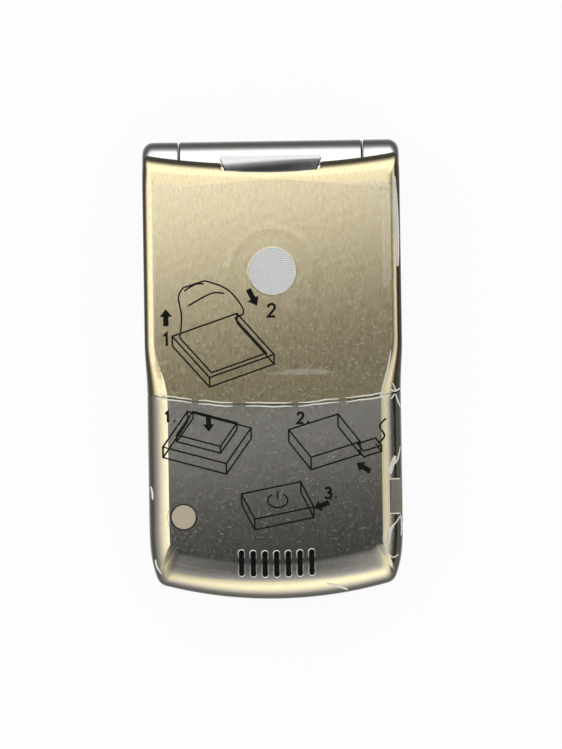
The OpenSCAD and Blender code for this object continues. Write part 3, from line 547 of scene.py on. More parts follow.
# ---------------------------------------------------------------- camera, light and floor
CAMERA_X, CAMERA_Y, CAMERA_RISE, TURN = 1.506, -1.063, 1000.0, 0.89
VIEW_W, SENSOR_W = 117.57, 36.0
SKY_MAX, LEAN = 1.5, -0.4
SKY_LENGTH = [
    (-0.95, 1.3), (-0.86, 1.28), (-0.77, 1.0), (-0.57, 0.44), (-0.41, 0.25), (-0.24, 0.065), (-0.13, 0.036),
    (-0.081, 0.04), (-0.055, 0.088), (-0.04, 0.147), (-0.0194, 0.367), (-0.0104, 0.24), (-0.004, 0.093),
    (0.0032, 0.08), (0.018, 0.193), (0.0326, 0.32), (0.049, 0.653), (0.067, 1.067), (0.0725, 1.27),
    (0.087, 1.5), (0.12, 1.45), (0.2, 1.3), (0.8, 1.28), (1.0, 1.1)]
SKY_SIDES = [(-0.95, 0.6), (-0.85, 0.7), (-0.77, 0.6), (-0.64, 0.55), (-0.57, 0.42), (-0.44, 0.2),
             (-0.27, 0.05), (-0.1, 0.0), (0.08, 0.0), (0.2, 0.08), (0.4, 0.32), (0.55, 0.55), (0.7, 0.8),
             (0.8, 1.0)]
FLAG_START, FLAG_END, FLAG_LEVEL = 0.68, 0.97, 0.12
FLOOR_GLOW = 0.92


def make_camera_view():
    scene = bpy.context.scene
    scene.view_settings.view_transform = "Standard"
    lens = bpy.data.cameras.new("camera")
    lens.sensor_fit = "HORIZONTAL"
    lens.sensor_width = SENSOR_W
    lens.lens = SENSOR_W * CAMERA_RISE / VIEW_W
    lens.clip_end = 20.0
    camera = bpy.data.objects.new("camera", lens)
    camera.location = (CAMERA_X * MM, CAMERA_Y * MM, (BACK_TOP + CAMERA_RISE) * MM)
    camera.rotation_euler = (0, 0, -math.radians(TURN))
    scene.collection.objects.link(camera)
    scene.camera = camera


def make_sky():
    """A soft surround, bright towards the hinge and dimmer overhead, as a room seen in brushed metal."""
    world = bpy.data.worlds.new("studio")
    bpy.context.scene.world = world
    world.use_nodes = True
    tree = world.node_tree

    def profile(value, stops, full):
        place = add(tree, "MapRange", {"Value": value, "From Min": -1.0, "From Max": 1.0})
        return ramp(tree, place.outputs["Result"], [((v + 1) / 2, k / full) for v, k in stops])

    split = add(tree, "SeparateXYZ", {"Vector": add(tree, "TexCoord").outputs["Generated"]}).outputs
    tilt = calc(tree, "ADD", split["Y"], calc(tree, "MULTIPLY", split["X"], LEAN))
    walls = mixed(tree, "MIX", profile(split["X"], SKY_SIDES, 1.0), profile(tilt, SKY_LENGTH, SKY_MAX),
                  (1 / SKY_MAX, 1 / SKY_MAX, 1 / SKY_MAX, 1.0))
    flag = add(tree, "MapRange", {"Value": split["X"], "From Min": FLAG_START, "From Max": FLAG_END,
                                  "To Min": 1.0, "To Max": FLAG_LEVEL}, interpolation_type="SMOOTHSTEP")
    fill(tree, tree.nodes["Background"], {"Color": mixed(tree, "MULTIPLY", 1.0, walls, flag.outputs["Result"]),
                                          "Strength": SKY_MAX})


def make_floor():
    """Pale floor that the camera, metal and glass see as white."""
    floor = new_object("floor", [(-3, -3, 0), (3, -3, 0), (3, 3, 0), (-3, 3, 0)], [(0, 1, 2, 3)])
    material, tree, shader = node_material("white_floor")
    tree.nodes.remove(shader)
    path = add(tree, "LightPath").outputs
    seen = calc(tree, "MAXIMUM", path["Is Camera Ray"], path["Is Glossy Ray"])
    share = calc(tree, "MULTIPLY", calc(tree, "MAXIMUM", seen, path["Is Transmission Ray"]), FLOOR_GLOW)
    paper = add(tree, "BsdfDiffuse", {"Color": (0.94, 0.94, 0.94, 1)})
    glow = add(tree, "Emission", {"Color": (1, 1, 1, 1), "Strength": 1.0})
    mix = shader_mix(tree, share, paper, glow)
    fill(tree, tree.nodes["Material Output"], {"Surface": mix.outputs["Shader"]})
    floor.data.materials.append(material)


# ---------------------------------------------------------------- the back's rounded form
CREASE = 0.24
PHI_STEPS, END_POINTS = 14, 24


def crease(y):
    return CREASE * swell(y) * ease((y - TOE_END_Y + 1) / 5)


def bow(x, y):
    """How far the hollow hinge end moves a place towards the hinge."""
    return x * x / 2 / BOW_R * ease((y - DOOR_END_Y) / BOW_L + 1)


def back_form(name, z0, inset=0.0):
    """Closed solid of the rounded back from z0 up, inset by a wall. A crease starts the chin's shoulders."""
    outer = closed(half_outline(inset, 0, END_POINTS))
    flat_edge = closed(half_outline(0, 1, END_POINTS))
    rings = [[(x, y + bow(x, y), z0) for x, y in outer]]
    for j in range(PHI_STEPS + 1):
        phi = math.pi / 2 * j / PHI_STEPS
        u = math.cos(phi)
        ring = []
        for (ox, oy), (fx, fy) in zip(outer, flat_edge):
            x, y = between(ox, fx, 1 - u), between(oy, fy, 1 - u)
            drop = (shoulder_h(y) - inset) * (1 - math.sin(phi) + crease(y) * u * (1 - u))
            ring.append((x, y + bow(x, y), back_z(y + bow(x, y)) - inset - drop))
        rings.append(ring)
    return loft(name, rings, ends=END_POINTS)


def skin_probe():
    form = back_form("probe", SPLIT_Z)
    tree = BVHTree.FromPolygons([v.co.copy() for v in form.data.vertices],
                                [tuple(f.vertices) for f in form.data.polygons])
    bpy.data.objects.remove(form)
    return tree


SKIN = skin_probe()


def surface_z(x, y):
    """Height of the back at a place, with its shoulders."""
    hit = SKIN.ray_cast(Vector((x, y, 2 * BODY_W)), Vector((0, 0, -1)))[0]
    return hit.z if hit is not None else SPLIT_Z


# ---------------------------------------------------------------- door
TAB_X, TAB_W, TAB_L, TAB_T, TAB_Z = 12.0, 6.0, 1.3, 0.6, BACK_TOP - 1.8
CATCH_Y = LATCH_FRONT_Y - 2.8 - 2.0


def door_side(z0, z1, grow=0.0):
    return disc("door_side", 0, SEAM_Y + SEAM_R, SEAM_R + grow, z0, z1, 1440)


def latch_notch():
    return prism("notch", mirrored([
        (-LATCH_W / 2 - 0.2, BODY_L), (-LATCH_W / 2 - 0.2, DOOR_END_Y), (-NOTCH_X, LATCH_FRONT_Y + 0.5),
        (-LATCH_W / 4, LATCH_FRONT_Y + 0.15), (0, LATCH_FRONT_Y)]), LATCH_Z - 1, BODY_W)


def latch_room():
    x, y = LATCH_W / 2 - LATCH_SLANT + 0.15, LATCH_FRONT_Y - 1.45
    return prism("latch_room", mirrored([(-NOTCH_X, LATCH_FRONT_Y + 0.5), (-x, y)]), LATCH_Z - 1,
                 LATCH_Z + LATCH_T + 0.12)


def tongue():
    x = LATCH_W / 2 - 0.3
    return prism("tongue", mirrored([(-x, LATCH_BACK_Y), (-x, AXIS_Y - 0.65)]), SKIRT_Z - 0.2, LATCH_Z - 0.2)


def make_door():
    door = back_form("door_skin", SPLIT_Z)
    combine(door, [door_side(SKIRT_Z, ABOVE)], "INTERSECT")
    combine(door, [back_form("inside", SPLIT_Z - 1, DOOR_SKIN), axis_rod(CLEAR_R, -BODY_W, BODY_W),
                   disc("recess", 0, BADGE_Y, BADGE_R + 0.12, back_z(BADGE_Y) - 0.3, ABOVE, 128),
                   latch_notch(), latch_room()])
    soften(door, 0.09)
    tabs = []
    for x in (-TAB_X, TAB_X):
        x0, x1 = x - TAB_W / 2, x + TAB_W / 2
        tabs.append(block("tab", x0, x1, SEAM_Y - TAB_L, SEAM_Y + 3, TAB_Z, TAB_Z + TAB_T))
        tabs.append(block("tab_web", x0, x1, SEAM_Y + 1.3, SEAM_Y + 3, TAB_Z + TAB_T / 2,
                          BACK_TOP - DOOR_SKIN + 0.2))
    tabs.append(block("catch", -4, 4, CATCH_Y - 0.9, CATCH_Y - 0.1, LATCH_Z + 0.2,
                      back_z(CATCH_Y) - DOOR_SKIN + 0.1))
    combine(door, tabs, "UNION")
    true_normals(done(door, "door", GOLD, ["battery_door"]))


# ---------------------------------------------------------------- keypad half: back housing and barrel
SCREW_X = BODY_W / 2 - 3.0
BOSS_D, SCREW_D, SCREW_HEAD_D = 3.0, 1.3, 2.5
FRONT_END_Y = AXIS_Y - CLEAR_R
BAY_Y = SEAM_Y + 3.8
MOTOR_Y, MOTOR_D, MOTOR_L = FRONT_END_Y - 3.5, 2.4, 9.0
BAY_L = MOTOR_Y - MOTOR_D / 2 - 0.6 - BAY_Y
BATTERY_W = 2 * (SCREW_X - BOSS_D / 2 - 0.5)
BOARD_Z = SPLIT_Z + 0.02
BOARD_TOP = BOARD_Z + 0.8
BAY_Z = BOARD_TOP + 0.8
WALL_T = 2.4
CAVITY_X, CAVITY_END_Y = CHIN_W / 2 - 6.65, SEAM_Y - 3.7
SPEAKER_W = 18.4
SIM_W, SIM_L = 16.0, 17.0
FLEX_X, FLEX_W, FLEX_R = 6.0, 5.5, 2.1
CARTRIDGE_L, CARTRIDGE_R, BUSH_L, BUSH_R = 14.2, 3.05, 7, 2.85
SOCKET_H = 3.6
SCREW_AT = [(x, y) for x in (-SCREW_X, SCREW_X) for y in (BAY_Y + 0.5, BAY_Y + BAY_L - 1.6)]
SLOT_AT = [(i * SLOT_PITCH, SLOT_Y + SLOT_RISE * (i / 3) ** 2) for i in range(-3, 4)]


def flex_room():
    x0, x1 = FLEX_X - 0.2, FLEX_X + FLEX_W + 0.2
    return block("flex_room", x0, x1, FRONT_END_Y - 1.4, AXIS_Y, 8, BOARD_TOP + 0.4)


def make_rear():
    rear = back_form("rear_skin", SPLIT_Z)
    room = door_side(SKIRT_Z - COVER_GAP, ABOVE, COVER_GAP)
    tub = back_form("tub", SPLIT_Z, DOOR_SKIN + TUB_GAP)
    combine(tub, [block("lid", -FAR, FAR, -FAR, FAR, TUB_Z, 30)])
    combine(room, [tub])
    battery_mid = BAY_Y + BAY_L / 2
    end = HALF_BARREL - BARREL_GAP / 2
    half_port = PORT_W / 2
    cuts = [turned("barrel_room", [(-BODY_W, 0), (-BODY_W, CLEAR_R), (-end, CLEAR_R), (-end, BARREL_R),
                                   (end, BARREL_R), (end, CLEAR_R), (BODY_W, CLEAR_R), (BODY_W, 0)]),
            room, tongue(), mid_block(BATTERY_W + 0.6, BAY_Y, BAY_Y + BAY_L, BAY_Z, ABOVE),
            mid_block(BODY_W - 2 * WALL_T, TIP_Y + 5.4, FRONT_END_Y - 1, SPLIT_Z - 1, BOARD_TOP + 0.3),
            mid_block(SIM_W + 1, battery_mid - SIM_L / 2 - 0.5, battery_mid + SIM_L / 2 + 0.5, SPLIT_Z,
                      BAY_Z + 1),
            mid_block(2 * CAVITY_X, TIP_Y + TIP_ROUND_W + 0.6, CAVITY_END_Y, SPLIT_Z, CAVITY_TOP),
            mid_block(SPEAKER_W + 1, SLOT_Y - 3, SLOT_Y + 5, SPLIT_Z - 0.01, CAVITY_TOP - 0.01),
            disc("plug_seat", PLUG_X, PLUG_Y, PLUG_R + 0.17, CAVITY_TOP - 1, ABOVE),
            disc("plug_stem", PLUG_X, PLUG_Y, 1.3, BOARD_Z, CAVITY_TOP),
            block("port", PORT_X, BODY_W, PORT_Y - half_port, PORT_Y + half_port, BOARD_TOP, ABOVE),
            block("socket", CAVITY_X - 3, PORT_X + 1, PORT_Y - half_port - 0.6, PORT_Y + half_port + 0.6,
                  BOARD_Z, BOARD_TOP + SOCKET_H + 0.1),
            mid_block(MOTOR_L + 0.4, MOTOR_Y - MOTOR_D / 2 - 0.2, MOTOR_Y + MOTOR_D / 2 + 0.2, BOARD_TOP,
                      TUB_Z + 1),
            flex_room()]
    for x in (-TAB_X, TAB_X):
        cuts.append(block("pocket", x - TAB_W / 2 - 0.3, x + TAB_W / 2 + 0.3, SEAM_Y - TAB_L - 1.2, SEAM_Y + 2,
                          TAB_Z - 1.9, TAB_Z + TAB_T + 0.3))
    for x, y in SCREW_AT:
        for r, z0, z1, n in ((BOSS_D / 2 + 0.1, SPLIT_Z - 1, BOARD_TOP + 0.3, 48),
                             (SCREW_D / 2 + 0.15, SPLIT_Z - 1, ABOVE, 32),
                             (SCREW_HEAD_D / 2 + 0.15, TUB_Z - 1.1, TUB_Z + 1, 48)):
            cuts.append(disc("screw_room", x, y, r, z0, z1, n))
    combine(rear, cuts)
    soften(rear, 0.05)
    combine(rear, [window(x, y, SLOT_W, SLOT_L, SLOT_W / 2 - 0.001, CAVITY_TOP - 1, ABOVE, 10)
                   for x, y in SLOT_AT])
    true_normals(done(rear, "keypad_half", CHIN_METAL, ["rear_housing"]))


def make_barrel():
    """Middle barrel with its two bores, and the tongue under the latch."""
    e, left, right = 0.35, CARTRIDGE_L - HALF_BARREL, HALF_BARREL - BUSH_L
    barrel = turned("hinge_barrel", [
        (left, 0), (left, CARTRIDGE_R), (-HALF_BARREL, CARTRIDGE_R), (-HALF_BARREL, BARREL_R - e),
        (e - HALF_BARREL, BARREL_R), (HALF_BARREL - e, BARREL_R), (HALF_BARREL, BARREL_R - e),
        (HALF_BARREL, BUSH_R), (right, BUSH_R), (right, FLEX_R), (FLEX_X - 2, FLEX_R), (FLEX_X - 2, 0)])
    combine(barrel, [flex_room()])
    soften(barrel, 0.08)
    done(barrel, "keypad_half", HINGE, ["rear_housing"], angle=28)
    lip = soften(tongue(), 0.08)
    flat_normals(done(lip, "keypad_half", HINGE, ["rear_housing"]))


def make_slot_rims():
    profile = [(0.0, -0.25), (0.0, 0.02), (-0.04, 0.08), (-0.12, 0.1), (-0.2, 0.08), (-0.27, -0.01),
               (-0.27, -0.25)]
    parts = []
    for x, y in SLOT_AT:
        verts = []
        for inset, rise in profile:
            loop = rounded_box(SLOT_W - 2 * inset, SLOT_L - 2 * inset, SLOT_W / 2 - inset - 0.001, 10)
            verts += [(px, py, surface_z(px, py) + rise) for px, py in shifted(loop, x, y)]
        parts.append((verts, bands(len(profile), len(loop), True)))
    done(merged("slot_rims", parts), "keypad_half", RIM)


LATCH_APEX_Y, LATCH_ROLL_R = 43.0, 15.0


def make_latch():
    """Push latch with a rolled face, whose ends slant in towards the door."""
    rows, edge = 14, 0.22
    verts = []
    y0, y1 = LATCH_FRONT_Y - 0.5, LATCH_BACK_Y + 0.3
    for i in range(rows + 1):
        t = i / rows
        y = between(y0, y1, t)
        w = (LATCH_W / 2 - LATCH_SLANT * max(0.0, 1 - (y - y0) / (y1 - y0 - 0.5))
             - 0.5 * max(0.0, (t - 0.86) / 0.14))
        top = LATCH_Z + LATCH_T - (y - LATCH_APEX_Y) ** 2 / 2 / LATCH_ROLL_R
        verts += [(x, y, z) for x, z in ((-w, LATCH_Z), (-w, top - edge), (edge - w, top), (w - edge, top),
                                         (w, top - edge), (w, LATCH_Z))]
    faces = bands(rows + 1, 6) + [tuple(range(6)), tuple(6 * rows + k for k in range(6))]
    latch = new_object("push_latch", verts, faces)
    combine(latch, [mid_block(LATCH_W - 4, LATCH_FRONT_Y - 2.8, LATCH_FRONT_Y + 0.2, LATCH_Z + 0.1,
                              LATCH_Z + 0.7)], "UNION")
    soften(latch, 0.06, 35)
    done(latch, "latch", LATCH, ["door_latch"])


def make_badge():
    """Round silver disc with fine ridges across it, in a polished rim."""
    z0, top, half = back_z(BADGE_Y) - 0.3, back_z(BADGE_Y) + 0.05, BADGE_R + 1
    pitch, groove = 0.42, 0.06
    profile = []
    for i in range(int(2 * BADGE_R / pitch) + 2):
        y = BADGE_Y - BADGE_R - pitch + i * pitch
        profile += [(y, top), (y + 0.42 * pitch, top), (y + 0.6 * pitch, top - groove),
                    (y + 0.85 * pitch, top - groove)]
    profile += [(profile[-1][0], z0 - 1), (profile[0][0], z0 - 1)]
    ridges = new_object("ridges", *slab_parts(*([(x, y, z) for y, z in profile] for x in (-half, half))))
    badge = disc("badge_disc", 0, BADGE_Y, BADGE_R - 0.16, z0, ABOVE, 128)
    combine(badge, [ridges], "INTERSECT")
    hoop = ring_solid("badge_rim", 0, BADGE_Y, BADGE_R, [
        (0.0, z0), (0.0, top - 0.02), (0.05, top + 0.03), (0.12, top + 0.03), (0.17, top - 0.01), (0.17, z0)])
    done(badge, "door", SILVER, ["badge"])
    done(hoop, "door", RIM, ["badge"])


def make_plug():
    z = back_z(PLUG_Y)
    plug = spun("port_plug", PLUG_X, PLUG_Y, [
        (1.1, BOARD_TOP), (1.1, z - 1.6), (PLUG_R - 0.15, z - 1.6), (PLUG_R - 0.05, z - 1.5),
        (PLUG_R - 0.05, z - 0.2), (PLUG_R - 0.12, z - 0.09), (PLUG_R - 0.3, z - 0.05),
        (PLUG_R - 0.9, z - 0.02), (0.5, z)])
    done(plug, "keypad_half", TAN, ["rf_port_plug"])


def spread(x0, x1, steps):
    return [x0 + (x1 - x0) * i / steps for i in range(steps + 1)]


def make_port():
    """Grey lining of the data port and the flush grey cap beside it on the shoulder."""
    y0, y1 = PORT_Y - PORT_W / 2 + 0.04, PORT_Y + PORT_W / 2 - 0.04
    x0, x1 = PORT_X + 0.04, CHIN_W / 2 - 0.15
    z0, z1 = BOARD_TOP, BOARD_TOP + SOCKET_H
    outline = [(x0, z0)] + [(x, max(z1, min(surface_z(x, PORT_Y) - 0.05, BACK_TOP)))
                            for x in spread(x0, x1, 10)] + [(x1, z0)]
    cap = new_object("port_lining", *slab_parts(*([(x, y, z) for x, z in outline] for y in (y0, y1))))
    combine(cap, [block("deep", PORT_X - 7, PORT_X + 0.1, y0, y1, z0, z1)], "UNION")
    combine(cap, [block("mouth", PORT_X - 6, BODY_W, y0 + 0.44, y1 - 0.44, z0 + 0.4, z1 - 0.4)])
    soften(cap, 0.05, 40)
    done(cap, "keypad_half", PORT, ["usb_socket"])


def make_port_rim():
    """Painted highlight: a pale line along the edge of the shoulder round the port's cap."""
    gap = PORT_W / 2 + 0.12
    across = spread(PORT_X - 0.32, CHIN_W / 2 - 0.5, 12)
    path = [(x, PORT_Y - gap) for x in reversed(across)] + [(x, PORT_Y + gap) for x in across]
    rim = drawing("port_highlight", [(path, 0.26, False)], [], lambda x, y: surface_z(x, y) - 0.06, 0.12)
    done(rim, "keypad_half", PORT_EDGE_HIGHLIGHT, angle=60)


# ---------------------------------------------------------------- keypad half: front shell and keys
FLIP_W, FLIP_END_Y, FLIP_CORNER_R, FLIP_END_R = 53.0, AXIS_Y - 1.5, 3.0, 1.5
FLIP_T, COVER_T, FACE_T, COVER_WALL, RUN_R = 6.0, 3.0, 0.9, 1.2, BARREL_R + 0.05
CHIN_LIFT, FOLD_GAP = 0.3, 0.4
FRONT_ROUND, COVER_ROUND = (2.2, 2.0), (2.0, 1.8)  # width and height of a rounding
KEY_Z, KEY_T, KEY_GAP = BASE_Z + 0.1, 0.7, 0.15
RING_Y, RING_R, SELECT_R = AXIS_Y - 21.4, 11.0, 5.4
KEY_DX, KEY_DY, ROW_Y, CALL_Y, KEY_W = 16.0, 7.6, -0.6, 7.05, 15.2
KEYS = [("key_%d" % n, str(n), KEY_DX * (1 - (n - 1) % 3), ROW_Y - KEY_DY * ((n - 1) // 3), KEY_W, 6.9)
        for n in range(1, 10)]
for names, marks, y, l in ((("key_star", "key_0", "key_hash"), ("star", "0", "hash"), ROW_Y - 3 * KEY_DY, 6.9),
                           (("send_key", "clear_key", "end_key"), ("send", "clear", "end"), CALL_Y, 6.6)):
    KEYS += [(name, mark, KEY_DX * (1 - k), y, KEY_W, l) for k, (name, mark) in enumerate(zip(names, marks))]
KEYS += [(name, "bar", x, RING_Y + 6.3, 9.0, 7.0) for name, x in (("soft_left", 18.2), ("soft_right", -18.2))]


def quarter_round(steps=10):
    """Inset and rise of a rounding, as shares of its width and height, from its flat to its side."""
    turns = [math.pi / 2 * (1 - j / steps) for j in range(steps + 1)]
    return [(1 - math.cos(phi), 1 - math.sin(phi)) for phi in turns]


def make_front():
    """Keypad side of the base, with the rounded front of the chin."""
    full, tucked = closed(half_outline(0)), closed(half_outline(FRONT_ROUND[0]))
    rings = [[(between(ox, tx, u), between(oy, ty, u), CHIN_LIFT + FRONT_ROUND[1] * rise)
              for (ox, oy), (tx, ty) in zip(full, tucked)] for u, rise in quarter_round()]
    front = loft("front_shell", rings + [raised(full, SPLIT_Z)])
    inner_z = BASE_Z + FACE_T
    cuts = [disc("flip_room", 0, FLIP_TIP_Y + TIP_R, TIP_R + FOLD_GAP, -1, BASE_Z, 720),
            block("end", -BODY_W, BODY_W, FRONT_END_Y, BODY_L, -1, BODY_W),
            mid_block(BODY_W - 2 * WALL_T, FLIP_TIP_Y + 4.2, FRONT_END_Y - 1, inner_z, SPLIT_Z + 1),
            mid_block(2 * CAVITY_X, TIP_Y + 5.2, FLIP_TIP_Y - 2.2, CHIN_LIFT + 1.2, SPLIT_Z + 2),
            mid_block(2 * CAVITY_X, TIP_Y + 5.3, FLIP_TIP_Y + 6, inner_z + 0.01, SPLIT_Z + 3),
            disc("ring_hole", 0, RING_Y, RING_R + KEY_GAP, BASE_Z - 1, BASE_Z + 2, 128),
            disc("mic_hole", CAVITY_X - 6, FLIP_TIP_Y - 4.6, 0.5, -1, 2, 24)]
    for _, _, x, y, w, l in KEYS:
        cuts.append(window(x, y, w + 2 * KEY_GAP, l + 2 * KEY_GAP, 1 + KEY_GAP, BASE_Z - 1, BASE_Z + 1.4, 6))
    combine(front, cuts)
    for x, y in SCREW_AT:
        combine(front, [disc("boss", x, y, BOSS_D / 2, BASE_Z + FACE_T / 2, BOARD_TOP + 0.2, 48)], "UNION")
    combine(front, [disc("thread", x, y, SCREW_D / 2, inner_z + 0.2, inner_z + 3.2, 32) for x, y in SCREW_AT])
    soften(front, 0.06)
    flat_normals(done(front, "keypad_half", SHELL, ["front_housing"]))


def make_key(name, mark, x, y, w, l):
    """Key with a rounded rim round its lower face, and its legend."""
    steps, edge, rings = 5, 0.22, []
    for j in range(steps + 1):
        a = math.pi / 2 * j / steps
        inset = edge * (1 - math.sin(a))
        rings.append(raised(shifted(rounded_box(w - 2 * inset, l - 2 * inset, 1.0 - inset, 6), x, y),
                            KEY_Z + edge * (1 - math.cos(a))))
    rings.append([(px, py, KEY_Z + KEY_T) for px, py, _ in rings[-1]])
    flat_normals(done(loft(name + "_cap", rings, strips=False), name, KEY, [name]))
    add_mark(name + "_legend", glyph(mark, x, y, 3.1, 0.45, -1), [], name)


def add_mark(name, strokes, plates, body, z=0.004, thick=-0.02):
    obj = drawing(name, strokes, plates, lambda x, y: KEY_Z + z, thick)
    done(obj, body, LEGEND, angle=60)


def make_keys():
    for key in KEYS:
        make_key(*key)
    ring = ring_solid("direction_ring", 0, RING_Y, RING_R, [
        (0, KEY_Z + KEY_T), (0, KEY_Z + 0.25), (0.06, KEY_Z + 0.12), (0.18, KEY_Z + 0.03), (0.35, KEY_Z),
        (4.9, KEY_Z + 0.05), (5.15, KEY_Z + 0.12), (5.3, KEY_Z + 0.25), (5.3, KEY_Z + KEY_T)])
    done(ring, "nav_ring", RIM, ["nav_ring"])
    marks, mark_r = [], 8.4
    for k in range(4):
        c, t = math.cos(k * math.pi / 2), math.sin(k * math.pi / 2)
        marks.append([(mark_r * c + (px * c - py * t), RING_Y + mark_r * t + (px * t + py * c))
                      for px, py in ((0.8, 0), (-0.5, 0.9), (-0.5, -0.9))])
    add_mark("direction_marks", [], marks, "nav_ring")
    select = spun("select_cap", 0, RING_Y, [
        (SELECT_R, KEY_Z + KEY_T), (SELECT_R, KEY_Z + 0.25), (SELECT_R - 0.06, KEY_Z + 0.12),
        (SELECT_R - 0.2, KEY_Z + 0.03), (SELECT_R - 0.4, KEY_Z), (2.6, KEY_Z + 0.07), (0.6, KEY_Z + 0.09)])
    done(select, "select_key", KEY, ["select_key"])
    add_mark("select_mark", [(oval(0, RING_Y, 1.1, 1.1, 24), 0.35, True)], [], "select_key", 0.085, -0.03)


# ---------------------------------------------------------------- display half
CAMERA_AT_Y, CAMERA_R, LENS_AT_Y, OUTER_LENS_Y = AXIS_Y - 11.5, 4.5, 2.275, AXIS_Y - 29.4
LENS_W, LENS_L, OUTER_W, OUTER_L = 40.0, 46.95, 28.0, 20.0
EARPIECE_Y = FLIP_TIP_Y + 6.4
KNUCKLE_X, KNUCKLE_R = HALF_BARREL + BARREL_GAP / 2, 2.3
SIDE_Z, SIDE_T = COVER_T + 1, 1.4
SIDE_KEYS = [("volume_rocker", 1, AXIS_Y - 23, 14.0), ("smart_key", 1, AXIS_Y - 37, 6.0),
             ("voice_key", -1, AXIS_Y - 23, 6.0)]


def flip_ring(inset, z):
    """Outline of the display half at a height, inset by a wall or a rounding."""
    r, tip, tip_cy = FLIP_CORNER_R - inset, TIP_R - inset, FLIP_TIP_Y + TIP_R
    cx = FLIP_W / 2 - FLIP_CORNER_R
    cy = tip_cy - math.sqrt((tip - r) ** 2 - cx * cx)
    a = math.atan2(cy - tip_cy, cx)
    end_r = max(0.5, FLIP_END_R - inset)
    end_x, end_y = FLIP_W / 2 - inset - end_r, FLIP_END_Y - inset - end_r
    half = (arc((0, tip_cy), tip, -math.pi / 2, a, 24) + arc((cx, cy), r, a, 0, 12, 1)
            + arc((end_x, end_y), end_r, 0, math.pi / 2, 8))
    return raised(closed(half), z)


def barrel_notch():
    return mid_block(2 * KNUCKLE_X, FRONT_END_Y, BODY_L, -1, 2 * BODY_W)


def make_cover():
    """Outer cover of the display half, with a rounded rim."""
    rings = [flip_ring(COVER_ROUND[0] * u, COVER_ROUND[1] * rise) for u, rise in quarter_round()]
    cover = loft("cover_shell", rings + [flip_ring(0, COVER_T)])
    combine(cover, [loft("inside", [flip_ring(COVER_WALL, z) for z in (FACE_T, COVER_T + 1)]),
                    window(0, OUTER_LENS_Y, OUTER_W - 1.4, OUTER_L - 1.4, 1.2, -1, 2),
                    window(0, OUTER_LENS_Y, OUTER_W + 0.1, OUTER_L + 0.1, 2, -1, 0.75),
                    disc("camera_hole", 0, CAMERA_AT_Y, CAMERA_R + 0.05, -1, 2, 96), barrel_notch(),
                    axis_rod(RUN_R, KNUCKLE_X - BARREL_GAP, BODY_W),
                    axis_rod(RUN_R, -BODY_W, BARREL_GAP - KNUCKLE_X)])
    soften(cover, 0.07)
    flat_normals(done(cover, "flip", SHELL, ["flip_cover"]))


def make_bezel():
    """Inner shell of the display half."""
    rim = ((0, 0.4), (0.03, 0.25), (0.12, 0.11), (0.25, 0.03), (0.4, 0))
    rings = [flip_ring(inset, FLIP_T - drop) for inset, drop in rim]
    bezel = loft("bezel_shell", [flip_ring(0, COVER_T)] + rings)
    inside = loft("inside", [flip_ring(COVER_WALL, z) for z in (COVER_T - 1, FLIP_T - 1)])
    combine(inside, [block("end", -BODY_W, BODY_W, FRONT_END_Y - 2, BODY_L, -1, ABOVE)])
    rod_r, rod_in, rod_out = BARREL_R - 0.4, KNUCKLE_X - 0.3, BODY_W / 2 - 1
    cuts = [inside, window(0, LENS_AT_Y, LENS_W - 2.4, LENS_L - 2.4, 1.5, -1, 12),
            window(0, LENS_AT_Y, LENS_W + 0.1, LENS_L + 0.1, 2.5, FLIP_T - 0.8, 12), barrel_notch(),
            axis_rod(rod_r, rod_in, rod_out), axis_rod(rod_r, -rod_out, -rod_in)]
    cuts += [disc("ear_hole", x * 1.5, EARPIECE_Y, 0.4, 4, 8, 32) for x in range(-2, 3)]
    cuts += [disc("bumper_hole", x, y, 1.3, FLIP_T - 0.25, 8, 48) for x in (4 - FLIP_W / 2, FLIP_W / 2 - 4)
             for y in (FLIP_TIP_Y + 7, FRONT_END_Y - 3)]
    for _, side, y, l in SIDE_KEYS:
        x0, x1 = sorted((side * (FLIP_W / 2 - 2), side * BODY_W))
        half_l, half_t = l / 2 + KEY_GAP, SIDE_T / 2 + KEY_GAP
        cuts.append(block("side_hole", x0, x1, y - half_l, y + half_l, SIDE_Z - half_t, SIDE_Z + half_t))
    combine(bezel, cuts)
    soften(bezel, 0.05)
    flat_normals(done(bezel, "flip", SHELL, ["flip_bezel"]))


def make_knuckles():
    """Barrel ends of the display half, bored for the shaft and the bush."""
    e, half = 0.3, BODY_W / 2
    for name, side, bore, end in (("knuckle_left", -1, 1.71, 25.6), ("knuckle_right", 1, 2.81, 25.3)):
        profile = [(end, 0), (end, bore), (KNUCKLE_X, bore), (KNUCKLE_X, BARREL_R - e),
                   (KNUCKLE_X + 0.08, BARREL_R - 0.09), (KNUCKLE_X + e, BARREL_R)]
        profile += arc((half - KNUCKLE_R, BARREL_R - KNUCKLE_R), KNUCKLE_R, math.pi / 2, 0, 12)
        done(turned(name, profile + [(half, 0)], side), "flip", HINGE, ["flip_bezel"], angle=28)


def make_camera():
    z = FACE_T
    ring = ring_solid("camera_trim", 0, CAMERA_AT_Y, CAMERA_R, [
        (0, z + 0.3), (0, 0.3), (0.06, 0.18), (0.2, 0.1), (0.45, 0.1), (0.8, 0.2), (1.1, 0.45), (1.1, z + 0.3)])
    done(ring, "flip", RIM, ["camera_ring"])
    glass = spun("camera_glass", 0, CAMERA_AT_Y, [
        (3.3, z + 0.05), (3.3, 0.62), (3.1, 0.55), (2.4, 0.5), (0.4, 0.46)])
    done(glass, "flip", LENS)


def make_side_keys():
    for name, side, y, l in SIDE_KEYS:
        rings = []
        for x, inset in ((25.4, 0), (26.55, 0), (26.66, 0.04), (26.72, 0.12), (26.75, 0.25)):
            rings.append([(side * x, y + a, SIDE_Z + b)
                          for a, b in rounded_box(l - 2 * inset, SIDE_T - 2 * inset, 0.5 - inset, 5)])
        done(loft(name + "_cap", rings, strips=False), name, KEY, [name])


